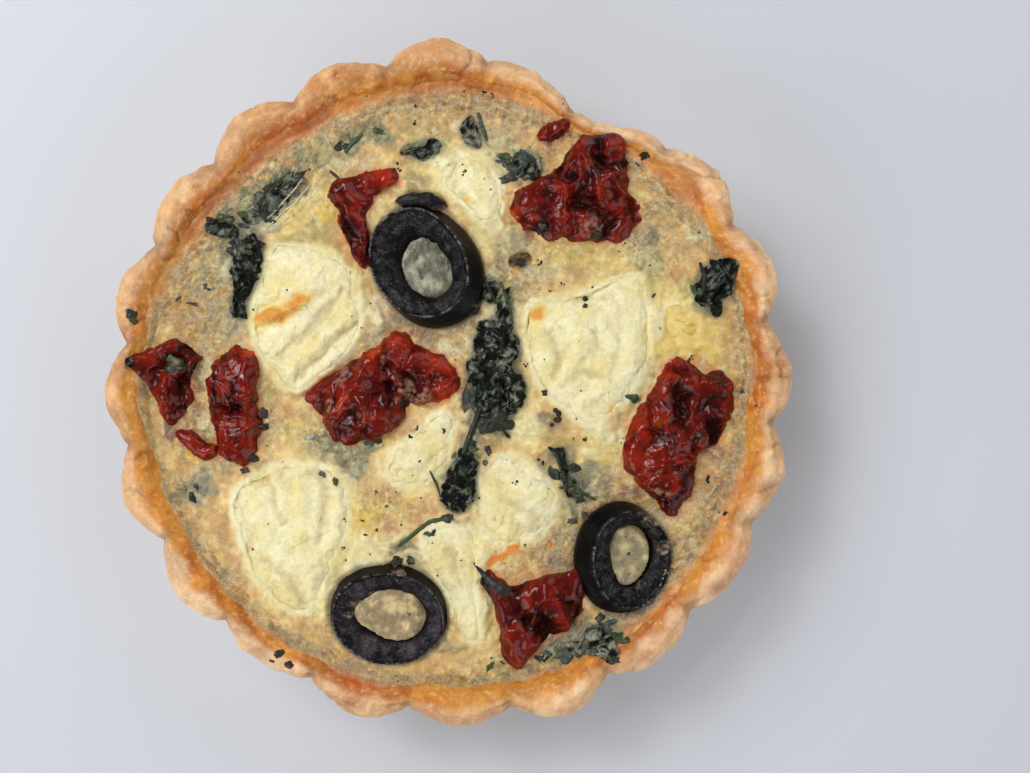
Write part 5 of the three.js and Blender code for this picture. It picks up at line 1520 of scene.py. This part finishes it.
    index = np.arange((n + 1) ** 2).reshape(n + 1, n + 1)
    quads = np.stack([index[:-1, :-1], index[:-1, 1:], index[1:, 1:], index[1:, :-1]], -1)
    quads = quads.reshape(-1, 4)
    border = np.concatenate([index[0, :-1], index[:-1, -1], index[-1, :0:-1], index[:0:-1, 0]])
    turn = angle[border]
    wall_at = np.interp(turn, np.append(turns, np.pi), np.append(wall, wall[0]))
    rings = []
    for radius, height in [(wall_at + gap, z) for gap, z in CUSTARD_SIDE] + CUSTARD_UNDER:
        rings.append(np.column_stack([radius * np.cos(turn), radius * np.sin(turn),
                                      np.full(len(turn), height)]))
    count, start = len(border), len(points)
    everything = np.vstack([points] + rings + [[[0, 0, CUSTARD_UNDER[-1][1]]]])
    rows = [border] + [start + k * count + np.arange(count) for k in range(len(rings))]
    faces = [quads]
    for upper, lower in zip(rows[:-1], rows[1:]):
        faces.append(np.stack([upper, lower, np.roll(lower, -1), np.roll(upper, -1)], 1))
    lid = np.stack([rows[-1], np.full(count, len(everything) - 1), np.roll(rows[-1], -1)], 1)
    custard = make_object("baked_custard", everything, np.vstack(faces), lid)

    close = {kind: sample(blur(mask, 0.8), x, y) for kind, mask in maps["masks"].items()}
    around = sample(blur(cheese, 2.2), x, y)
    mid, fine = fbm(flat, 2.0, 3, 77), fbm(flat, 0.7, 3, 72)
    tone = custard_tone(points)
    bared = 0.9 * np.clip(spots(x, y, BARE_SKIN, 54, 0.8), 0, 1)
    bared = 1 - bared * smooth(0.95, 0.6, close_by)
    creamy = around + 0.35 * mid * (around > 0.04)
    tone = mix(tone, linear(246, 222, 150), 0.55 * smooth(0.14, 0.48, creamy) * bared)
    curd = cheese_tone(flat)
    here = np.clip(spots(x, y, YELLOW_CURDS, 98, 0.3), 0, 1)
    curd = mix(curd, linear(238, 206, 118), smooth(0.1, 0.5, here))
    share = smooth(0.20, 0.62, close_by + 0.25 * mid * (close_by > 0.03)) * bared
    tone = mix(tone, curd, np.maximum(share, 0.92 * curds))
    tone = mix(tone, melted_tone(mid), 0.75 * yellow)
    browned = smooth(0.3, 0.9, spots(x, y, CHEESE_BROWN, 41, 0.5) + 0.2 * fine)
    browned = 0.8 * browned * np.maximum(curds, smooth(0.2, 0.5, close_by))
    tone = mix(tone, linear(240, 180, 76), browned)
    burnt = spots(x, y, ORANGE_SPOTS, 53, 0.6)
    tone = mix(tone, linear(234, 138, 4), smooth(0.3, 0.8, burnt + 0.6 * fine))
    leaf = smooth(0.12, 0.55, close["spinach"] + 0.16 * mid)
    tone = mix(tone, linear(94, 100, 78), 0.8 * leaf)
    tone = mix(tone, linear(44, 54, 38), 0.7 * smooth(0.35, 0.8, close["spinach"] + 0.2 * mid))
    oily = smooth(0.12, 0.45, close["tomato"] + 0.16 * mid) * smooth(-0.2, 0.3, mid)
    tone = mix(tone, linear(222, 120, 40), 0.6 * oily)
    # a darker ring round the olives: brownish froth, and painted contact shade
    tone = mix(tone, linear(96, 74, 50), 0.75 * smooth(0.16, 0.5, close["olive"] + 0.20 * mid))
    for ring in OLIVE_RINGS.values():
        hole = mix(linear(*ring["dark"]), linear(*ring["light"]), smooth(-0.2, 0.4, mid))
        tone = mix(tone, hole, smooth(6.0, 4.8, from_ring(ring, x, y)))
    # random grain, and painted shade and light: lighter on the froth's wrinkle crests, darker in
    # its troughs
    tone = tone * (1 + 0.8 * np.clip(wrinkle + 0.1, -0.35, 0.4) * froth + 0.16 * fine)[:, None]
    trough_shade = np.maximum(smooth(-0.02, -0.26, wrinkle), 0.8 * smooth(-0.05, -0.28, crinkle))
    trough_shade *= smooth(-0.3, 0.3, fbm(flat, 1.4, 2, 89))
    tone = mix(tone, tone * linear(205, 170, 130), 0.75 * trough_shade * froth)
    # painted highlights: near-white lines on the wrinkle crests
    crest = np.maximum(smooth(0.20, 0.40, wrinkle), smooth(0.26, 0.42, crinkle))
    crest *= smooth(-0.25, 0.25, fbm(flat, 1.1, 2, 88))
    tone = mix(tone, linear(250, 242, 222), 0.65 * crest * froth)
    extra = len(everything) - len(points)
    tone = np.vstack([tone, np.tile(linear(226, 200, 140), (extra, 1))])
    gloss = 0.35 + 0.45 * froth + 0.3 * smooth(-0.2, 0.4, mid) + 0.3 * smooth(-0.1, 0.2, u)
    fuzz = (0.2 + 0.8 * froth) * (1 - 0.6 * smooth(0.0, 0.3, u))
    paint(custard, tone, gloss=np.append(np.clip(gloss, 0, 1), np.full(extra, 0.3)),
          fuzz=np.append(fuzz, np.full(extra, 1.0)))
    return custard


def custard_shader():
    s = Shader("baked custard", Specular_IOR_Level=0.35, Subsurface_Weight=0.15,
               Subsurface_Scale=0.0015, Subsurface_Radius=(1.0, 0.7, 0.4),
               Coat_Weight=0.6, Coat_Roughness=0.07)
    fuzz = s.value("fuzz")
    fine = s.noise(0.5, 3, 0.7, distortion=3.0)
    film = s.noise(1.3, 4, 0.6, distortion=2.4)
    strands = s.times(s.math("MAXIMUM", s.strands(0.8, 0.05), s.strands(1.3, 0.04)), fuzz)
    speckled = s.times(s.spread(fine, 0.62, 1.40), s.spread(film, 0.74, 1.28))
    even = s.times(s.math("SUBTRACT", 1.0, speckled), s.math("SUBTRACT", 1.0, fuzz))
    skin = s.add("ShaderNodeVectorMath", {0: s.tone(), 1: (1.09, 1.04, 0.75)},
                 operation="MULTIPLY").outputs[0]
    tone = s.shade(s.mix(fuzz, s.tone(), skin), s.math("ADD", speckled, even))
    glint = s.times(s.remap(fine, 0.57, 0.68, 0.0, 0.7), fuzz)
    glint = s.math("MAXIMUM", glint, s.times(strands, 0.80))
    s.link(s.mix(glint, tone, (0.97, 0.92, 0.72, 1)), "Base Color")
    s.link(s.remap(s.value("gloss"), 0, 1, 0.58, 0.25), "Roughness")
    s.bumps((s.times(film, fuzz), 0.42), (s.times(fine, fuzz), 0.24), (strands, 0.08))
    return s


# ------------------------------------------------------------------ pepper and shreds
# The larger grains: pixel x, y and radius in pixels.
GRAINS = [
    (557, 418, 9), (644, 156, 6), (706, 480, 5), (586, 302, 9), (483, 93, 4), (397, 168, 5),
    (412, 122, 4), (691, 357, 3.5), (687, 360, 3.5), (545, 392, 3), (525, 366, 3.5), (417, 427, 4),
    (411, 437, 3.5), (420, 461, 3), (541, 262, 3), (563, 284, 3), (550, 290, 2.5), (463, 91, 3),
    (492, 97, 2.5), (415, 105, 3), (465, 172, 3), (659, 329, 2.5), (654, 295, 3), (753, 405, 3),
    (743, 391, 3), (723, 512, 4), (345, 520, 3), (344, 547, 2.5), (366, 533, 3), (378, 530, 3),
    (586, 439, 3), (573, 438, 2.5), (526, 545, 3), (516, 481, 3), (637, 164, 3), (351, 273, 2),
    (628, 552, 2.5), (410, 614, 2.5), (538, 459, 3), (543, 463, 3), (376, 492, 2.5), (395, 491, 2),
    (386, 505, 2.5), (362, 520, 2.5), (445, 430, 3), (462, 560, 2)]
FLECKS = 150            # fine ones, strewn anywhere inside
FLECK_REACH = 47
HEAP_SIZE = 0.22        # a grain larger than this is a heap of a few
# faces of an icosahedron
GRAIN_SIDES = np.array([
    (0, 11, 5), (0, 5, 1), (0, 1, 7), (0, 7, 10), (0, 10, 11), (1, 5, 9), (5, 11, 4), (11, 10, 2),
    (10, 7, 6), (7, 1, 8), (3, 9, 4), (3, 4, 2), (3, 2, 6), (3, 6, 8), (3, 8, 9), (4, 9, 5),
    (2, 4, 11), (6, 2, 10), (8, 6, 7), (9, 8, 1)])


def rock(rng, radius):
    """The points of a rough little grain: an icosahedron pulled about."""
    g = (1 + 5 ** 0.5) / 2
    corners = np.array([(-1, g, 0), (1, g, 0), (-1, -g, 0), (1, -g, 0), (0, -1, g), (0, 1, g),
                        (0, -1, -g), (0, 1, -g), (g, 0, -1), (g, 0, 1), (-g, 0, -1), (-g, 0, 1)],
                       float)
    corners /= np.linalg.norm(corners[0])
    spin = np.linalg.qr(rng.normal(size=(3, 3)))[0]
    if np.linalg.det(spin) < 0:
        spin[0] *= -1
    corners *= rng.uniform(0.65, 1.25, (12, 1))
    return (corners * rng.uniform(0.7, 1.2, 3)) @ spin.T * radius


def scatter(name, places, rng, surface, tone):
    """Grains on the surface; the larger ones are heaps of a few."""
    points, faces, count, tones = [], [], 0, []
    for middle_x, middle_y, size in places:
        pieces = 1 if size < HEAP_SIZE else rng.integers(3, 6)
        for _ in range(pieces):
            radius = size if pieces == 1 else size * rng.uniform(0.35, 0.62)
            x = middle_x + (pieces > 1) * rng.normal() * size * 0.5
            y = middle_y + (pieces > 1) * rng.normal() * size * 0.5
            grain = rock(rng, radius)
            z = sample(surface, np.array([x]), np.array([y]))[0]
            points.append(grain * (1, 1, 0.7) + (x, y, z + radius * 0.25))
            faces.append(GRAIN_SIDES + count)
            tones.append(np.tile(tone * rng.uniform(0.4, 2.2), (len(grain), 1)))
            count += len(grain)
    obj = make_object(name, np.vstack(points), None, np.vstack(faces))
    paint(obj, np.vstack(tones))
    return obj


def pepper_shader():
    s = Shader("ground pepper", Specular_IOR_Level=0.4, Roughness=0.6)
    fine = s.noise(0.3, 3, 0.7)
    s.link(s.shade(s.tone(), s.spread(fine, 0.5, 1.6)), "Base Color")
    s.bumps((fine, 0.06))
    return s


# Thin stems: pixels they run through, half width at either end in pixels, tone.
STEMS = [
    ([(452, 517), (442, 519), (430, 521), (418, 530), (407, 539), (398, 546)], 2.4, 2.4, "green"),
    ([(483, 275), (489, 288), (496, 302)], 1.8, 1.8, "leaf"),
    ([(500, 281), (506, 296), (510, 308), (512, 322)], 1.8, 1.8, "green"),
    ([(481, 406), (475, 422), (469, 438), (463, 454)], 3.4, 3.4, "leaf"),
    ([(571, 482), (582, 492), (596, 500)], 1.8, 1.8, "green"),
    ([(478, 112), (482, 126), (487, 140)], 2.2, 2.2, "slate"),
    ([(345, 152), (352, 143), (362, 134)], 2.6, 2.6, "green"),
    ([(330, 170), (334, 174), (339, 178)], 1.6, 1.6, "char"),
    ([(430, 470), (437, 485), (441, 498)], 1.4, 1.4, "green"),
    ([(556, 452), (562, 470), (568, 486)], 2.2, 2.2, "leaf"),
    ([(502, 160), (509, 168), (518, 170), (526, 162)], 2.6, 2.6, "slate"),
    ([(700, 262), (703, 275), (702, 292)], 2.4, 2.4, "leaf"),
    ([(262, 222), (275, 212), (290, 196), (305, 178)], 0.8, 0.8, "stem"),
    ([(267, 228), (280, 214), (296, 202), (311, 184)], 1.1, 1.1, "stem"),
    ([(272, 231), (284, 220), (298, 211), (312, 196)], 0.7, 0.7, "stem"),
    ([(266, 225), (284, 208), (306, 192)], 0.6, 0.6, "stem"),
    ([(474, 562), (482, 571), (491, 580), (500, 587), (509, 592)], 0.9, 7.5, "char"),
    ([(486, 584), (491, 594), (497, 606)], 3.0, 1.0, "char"),
    ([(526, 300), (532, 293), (541, 288)], 1.2, 1.2, "stem")]


def build_stems(surface, rng):
    """Thin stems and thorns: closed tubes along runs of pixels."""
    points, faces, tones, count, sides = [], [], [], 0, 7
    a = 2 * np.pi * np.arange(sides) / sides
    for run, first, last, tone in STEMS:
        knots = np.array([at(*p) for p in run])
        t = np.linspace(0, len(knots) - 1, 6 * len(knots))
        line = np.column_stack([np.interp(t, np.arange(len(knots)), knots[:, k]) for k in (0, 1)])
        line[1:-1] = (line[:-2] + 2 * line[1:-1] + line[2:]) / 4
        z = sample(surface, line[:, 0], line[:, 1])
        swell = 0.4 + 0.6 * np.sin(np.pi * np.linspace(0.12, 0.88, len(line)))
        if first != last:
            swell = np.ones(len(line))
        half = np.linspace(first, last, len(line)) * PIXEL * swell
        half = half * rng.uniform(0.85, 1.15, len(line))
        along = np.gradient(line, axis=0)
        along /= np.linalg.norm(along, axis=1)[:, None]
        across = np.column_stack([-along[:, 1], along[:, 0]])
        for k in range(len(line)):
            rise = np.minimum(half[k], 0.45)
            flat = line[k] + across[k] * (half[k] * np.cos(a))[:, None]
            points.append(np.column_stack([flat, z[k] + rise * (0.15 + 0.8 * np.sin(a))]))
        faces.append(ring_faces(len(line), sides) + count)
        own = len(line) * sides
        base = np.tile(linear(*SHRED_TONES[tone]), (own, 1))
        tones.append(base * rng.uniform(0.6, 1.5, (own, 1)))
        count += own
    obj = make_object("baked_stems", np.vstack(points), np.vstack(faces))
    paint(obj, np.vstack(tones), gloss=np.full(count, 0.8))
    cap_ends(obj, sides)
    return obj


SHRED_TONES = dict(
    leaf=(22, 30, 17), green=(50, 72, 34), slate=(58, 68, 62), char=(26, 20, 18),
    plum=(60, 42, 44), stem=(200, 194, 152), veil=(150, 152, 128))
# Single bits: pixel x, y, half length, half width, turn, tone, stand in millimetres.
SHREDS = [
    (266, 204, 10, 6, 70, "leaf", 0.3), (274, 186, 12, 4, 30, "leaf", 0.25),
    (300, 176, 9, 3, 48, "leaf", 0.25), (222, 219, 12, 4, 8, "green", 0.25),
    (212, 228, 7, 5, -60, "leaf", 0.3), (243, 214, 6, 3, -20, "green", 0.2),
    (553, 472, 8, 4, -45, "leaf", 0.25), (476, 308, 6, 4, 60, "leaf", 0.3),
    (494, 420, 15, 12, 60, "leaf", 0.7), (501, 423, 11, 9, 0, "leaf", 0.6),
    (485, 424, 9, 9, 0, "leaf", 0.5), (508, 178, 9, 5, 10, "slate", 0.25),
    (470, 396, 13, 7, 80, "leaf", 0.4), (446, 518, 8, 4, 0, "leaf", 0.3),
    (180, 366, 12, 7, 20, "leaf", 0.5), (176, 360, 6, 4, -30, "green", 0.5),
    (137, 315, 6, 5, 60, "leaf", 0.3), (139, 321, 4, 4, 0, "green", 0.3),
    (282, 650, 5, 3, 20, "char", 0.3), (291, 661, 6, 4, -20, "char", 0.3),
    (275, 657, 3, 2, 0, "char", 0.2), (396, 561, 6, 5, 30, "char", 0.5),
    (410, 560, 5, 4, -40, "char", 0.4), (404, 571, 4, 3, 0, "char", 0.4),
    (263, 413, 4, 6, 0, "plum", 0.4), (265, 426, 4, 4, 0, "char", 0.3),
    (255, 458, 5, 4, 0, "char", 0.3), (245, 470, 4, 3, 0, "plum", 0.3),
    (488, 450, 3, 5, 20, "plum", 0.3), (485, 462, 3, 3, 0, "plum", 0.3),
    (268, 188, 4, 4, 0, "plum", 0.4), (211, 221, 6, 4, -30, "leaf", 0.4),
    (250, 266, 6, 5, 0, "leaf", 0.5), (541, 229, 6, 4, 20, "char", 0.3),
    (643, 156, 5, 4, 0, "leaf", 0.3), (192, 497, 3, 6, 10, "char", 0.15),
    (184, 488, 3, 3, 0, "plum", 0.15), (196, 486, 2, 4, 30, "leaf", 0.15),
    (545, 393, 3, 3, 0, "char", 0.3), (310, 436, 6, 3, 20, "veil", 0.3),
    (632, 397, 6, 5, 0, "green", 0.3), (192, 303, 6, 1.6, -10, "plum", 0.1),
    (178, 298, 4, 1.2, 30, "plum", 0.1), (596, 236, 6, 3, 30, "char", 0.3),
    (655, 532, 9, 6, -35, "char", 0.7), (662, 540, 5, 3, 20, "char", 0.5),
    (648, 524, 6, 3, -40, "char", 0.4), (722, 395, 3, 2, 0, "char", 0.2),
    (697, 434, 4, 3, 20, "char", 0.3)]
# Places strewn with torn leaf: pixel x, y, half width, half height, turn, four times how many,
# half length, tones.
LITTER = [
    (262, 205, 48, 13, 38, 34, 7, ("leaf", "green", "leaf", "slate")),
    (232, 262, 16, 40, -18, 24, 7, ("leaf", "leaf", "slate")),
    (222, 226, 16, 9, 0, 8, 6, ("leaf", "green", "slate")),
    (356, 140, 26, 9, 12, 12, 5, ("green", "leaf", "slate")),
    (508, 165, 20, 12, 0, 12, 5, ("leaf", "slate", "green")),
    (473, 128, 9, 18, 15, 8, 4, ("slate", "leaf")),
    (492, 290, 12, 20, 0, 8, 4, ("leaf", "green", "slate")),
    (486, 350, 14, 34, 0, 10, 4, ("slate", "leaf")),
    (565, 480, 26, 9, -42, 16, 5, ("leaf", "green", "leaf")),
    (562, 460, 14, 8, -20, 8, 5, ("leaf", "slate")),
    (582, 505, 12, 18, -30, 10, 5, ("leaf", "slate")),
    (585, 638, 34, 14, 12, 22, 6, ("slate", "leaf", "green", "slate")),
    (606, 618, 14, 10, 0, 8, 6, ("leaf", "slate")), (430, 530, 24, 5, 42, 8, 4, ("green", "leaf")),
    (520, 160, 22, 16, 0, 8, 7, ("leaf", "slate")), (608, 648, 8, 14, 0, 8, 6, ("leaf", "slate")),
    (545, 658, 14, 7, 0, 6, 4, ("leaf", "slate")),
    (458, 478, 18, 28, 30, 18, 5, ("leaf", "green", "slate")),
    (472, 440, 6, 18, 12, 6, 4, ("green", "leaf")),
    (706, 285, 24, 22, 0, 14, 6, ("leaf", "slate", "green")),
    (374, 440, 16, 4, 8, 6, 5, ("leaf", "slate")),
    (335, 455, 14, 24, -30, 8, 5, ("slate", "green")),
    (495, 664, 20, 6, 0, 5, 4, ("slate", "green")),
    (420, 148, 18, 9, 10, 8, 4, ("leaf", "leaf", "slate"))]


def build_shreds(surface, rng):
    """Thin torn bits that lie on whatever is under them, each a closed shell."""
    surface = blur(surface, 0.3)
    rows = list(SHREDS)
    for px, py, wide, high, turn, many, length, tones in LITTER:
        c, s = math.cos(math.radians(turn)), math.sin(math.radians(turn))
        for k in range(max(many // 4, 2)):
            a, b = np.clip(rng.normal(size=2) * 0.5, -1.0, 1.0) * (wide, high)
            size = length * rng.uniform(0.7, 1.6)
            rows.append((px + a * c - b * s, py - a * s - b * c, size,
                         size * rng.uniform(0.35, 0.8), turn + rng.normal() * 30,
                         tones[k % len(tones)], rng.uniform(0.05, 0.25)))
    points, faces, tones, count = [], [], [], 0
    # rings from the middle to the edge and back under it: share of the size, height, curl
    sides = 22
    shares = (0.3, 0.6, 0.85, 1.0, 0.92)
    heights = np.concatenate([[1.0], np.repeat([0.95, 0.85, 0.6, 0.02, -0.5], sides), [-0.5]])
    curls = np.concatenate([[1.0], np.repeat([1, 1, 0.9, 0.3, 0], sides), [0]])
    a = 2 * np.pi * np.arange(sides) / sides
    j = np.arange(sides)
    k = (j + 1) % sides
    quads = ring_faces(len(shares), sides)[:, [0, 3, 2, 1]] + 1
    last = 1 + (len(shares) - 1) * sides
    fans = np.vstack([np.stack([np.zeros(sides, int), 1 + j, 1 + k], 1),
                      np.stack([np.full(sides, last + sides), last + k, last + j], 1)])
    own_faces = np.vstack([fans, quads[:, [0, 1, 2]], quads[:, [0, 2, 3]]])
    for px, py, length, width, turn, name, stand in rows:
        seed = rng.uniform(0, 500)
        circle = np.column_stack([np.cos(a) * 1.1, np.sin(a) * 1.1, 0 * a + seed])
        edge = 1 + 0.7 * fbm(circle, 1.0, 2, 91)
        c, s = math.cos(math.radians(turn)), math.sin(math.radians(turn))
        u = length * PIXEL * np.cos(a) * edge
        v = width * PIXEL * np.sin(a) * edge
        flat = np.column_stack([u * c - v * s, u * s + v * c])
        middle = np.array(at(px, py))
        grid = np.vstack([[middle]] + [middle + flat * share for share in shares] + [[middle]])
        z = sample(surface, grid[:, 0], grid[:, 1])
        lift = np.where(heights > 0, heights * stand, heights * 0.5)
        curl = creased(np.column_stack([grid, np.full(len(grid), seed)]), 1.5, 92)
        curl = (0.12 + 0.3 * stand) * curl
        points.append(np.column_stack([grid, z + lift + curl * curls]))
        faces.append(own_faces + count)
        base = linear(*SHRED_TONES[name]) * rng.uniform(0.6, 1.4)
        mottled = 0.75 + 0.9 * np.clip(fbm(points[-1], 0.7, 2, 93) + 0.3, 0, 1)
        tones.append(np.tile(base, (len(grid), 1)) * mottled[:, None])
        count += len(grid)
    obj = make_object("baked_shreds", np.vstack(points), None, np.vstack(faces))
    p = points_of(obj)
    tone = np.vstack(tones)
    skin = smooth(0.1, 0.6, fbm(p, 2.2, 2, 94))
    on_custard = np.hypot(p[:, 0], p[:, 1]) < CUSTARD_REACH
    crept = mix(linear(*LEAF_FILM), custard_tone(p) * 0.8, 0.4 * on_custard)
    tone = mix(tone, crept, 0.6 * skin * on_custard)
    paint(obj, tone, gloss=np.full(len(p), 0.7))
    return obj


def shred_shader():
    s = Shader("torn leaf", Specular_IOR_Level=0.25, Coat_Weight=0.6, Coat_Roughness=0.12)
    fine = s.noise(0.4, 4, 0.7, distortion=0.8)
    s.link(s.shade(s.tone(), s.spread(fine, 0.6, 1.4)), "Base Color")
    s.link(s.spread(fine, 0.55, 0.30), "Roughness")
    s.bumps((fine, 0.10))
    return s


def cap_ends(obj, sides):
    """Closes the open ends of tubes."""
    work = bmesh.new()
    work.from_mesh(obj.data)
    bmesh.ops.holes_fill(work, edges=[e for e in work.edges if e.is_boundary], sides=sides)
    bmesh.ops.recalc_face_normals(work, faces=work.faces)
    work.to_mesh(obj.data)
    work.free()
    obj.data.shade_smooth()


# ------------------------------------------------------------------ everything together
crust = dress(build_case(), crust_shader(), "crust", "crust")
toppings = []
kinds = {"cheese": [], "tomato": [], "spinach": [], "olive": []}
looks = dict(zip(kinds, (cheese_shader(), tomato_shader(), spinach_shader(), olive_shader())))
for kind, start, build in (("cheese", "cheese_", build_cheese), ("tomato", "tomato_", build_tomato),
                           ("spinach", "spinach_", build_spinach),
                           ("olive", tuple(OLIVE_RINGS), build_olive),
                           ("olive", ("olive_sliver", "olive_scrap"), build_olive_scrap)):
    nodes = sorted(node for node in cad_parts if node.startswith(start))
    for number, node in enumerate(nodes):
        kinds[kind].append(len(toppings))
        toppings.append(dress(build(node, 100 + 7 * number), looks[kind], kind, node))

maps = survey(crust, toppings, kinds)
custard = dress(build_custard(maps), custard_shader(), "custard", "filling")
surface, _ = height_map([crust, custard] + toppings)

rng = np.random.default_rng(5)
places = [(*at(px, py), r * PIXEL * rng.uniform(0.7, 0.9)) for px, py, r in GRAINS]
while len(places) < len(GRAINS) + FLECKS:
    r, a = FLECK_REACH * math.sqrt(rng.uniform()), rng.uniform(0, 2 * math.pi)
    places.append((r * math.cos(a), r * math.sin(a), rng.uniform(0.08, 0.2)))
pepper = scatter("baked_pepper", places, rng, surface, linear(34, 26, 24))
dress(pepper, pepper_shader(), "pepper")
shred_look = shred_shader()
dress(build_stems(surface, rng), shred_look, "spinach")
dress(build_shreds(surface, rng), shred_look, "spinach")

# ------------------------------------------------------------------ stage, light, camera
FLOOR_REACH, FLOOR_LEVEL = 900, -0.02
corners = [(x * FLOOR_REACH, y * FLOOR_REACH, FLOOR_LEVEL)
           for x, y in ((-1, -1), (1, -1), (1, 1), (-1, 1))]
floor = make_object("floor", np.array(corners, float), np.array([[0, 1, 2, 3]]))
plain = Shader("pale floor", Roughness=0.7, Specular_IOR_Level=0.2)
plain.surface.inputs["Base Color"].default_value = (*linear(216, 220, 228), 1)
floor.data.materials.append(plain.material)


def area_light(name, place, size, power, colour):
    """A square lamp that faces the middle of the part; metres and watts."""
    data = bpy.data.lights.new(name, "AREA")
    data.shape = "SQUARE"
    data.size = size
    data.energy = power
    data.color = colour
    lamp = bpy.data.objects.new(name, data)
    lamp.location = place
    lamp.rotation_euler = (-Vector(place)).to_track_quat("-Z", "Y").to_euler()
    bpy.context.scene.collection.objects.link(lamp)


area_light("window", (-0.23, 0.18, 0.42), 0.32, 1.38, (1.0, 0.99, 0.97))
area_light("pane", (-0.20, 0.20, 0.44), 0.09, 0.36, (1.0, 0.99, 0.97))
area_light("side", (-0.45, -0.45, 0.40), 0.5, 1.8, (0.97, 0.98, 1.0))
area_light("back", (0.42, 0.50, 0.36), 0.6, 1.3, (0.97, 0.98, 1.0))
area_light("low", (0.50, -0.40, 0.30), 0.6, 1.5, (0.97, 0.98, 1.0))

world = bpy.data.worlds.new("room")
bpy.context.scene.world = world
world.use_nodes = True
background = world.node_tree.nodes["Background"]
background.inputs["Color"].default_value = (0.95, 0.97, 1.0, 1)
background.inputs["Strength"].default_value = 0.12
bpy.context.scene.view_settings.view_transform = "Standard"

camera = bpy.data.objects.new("camera", bpy.data.cameras.new("camera"))
camera.data.lens = CAMERA_LENS
camera.data.clip_start = 0.01
camera.location = tuple(v * MM for v in CAMERA_PLACE)
bpy.context.scene.collection.objects.link(camera)
bpy.context.scene.camera = camera
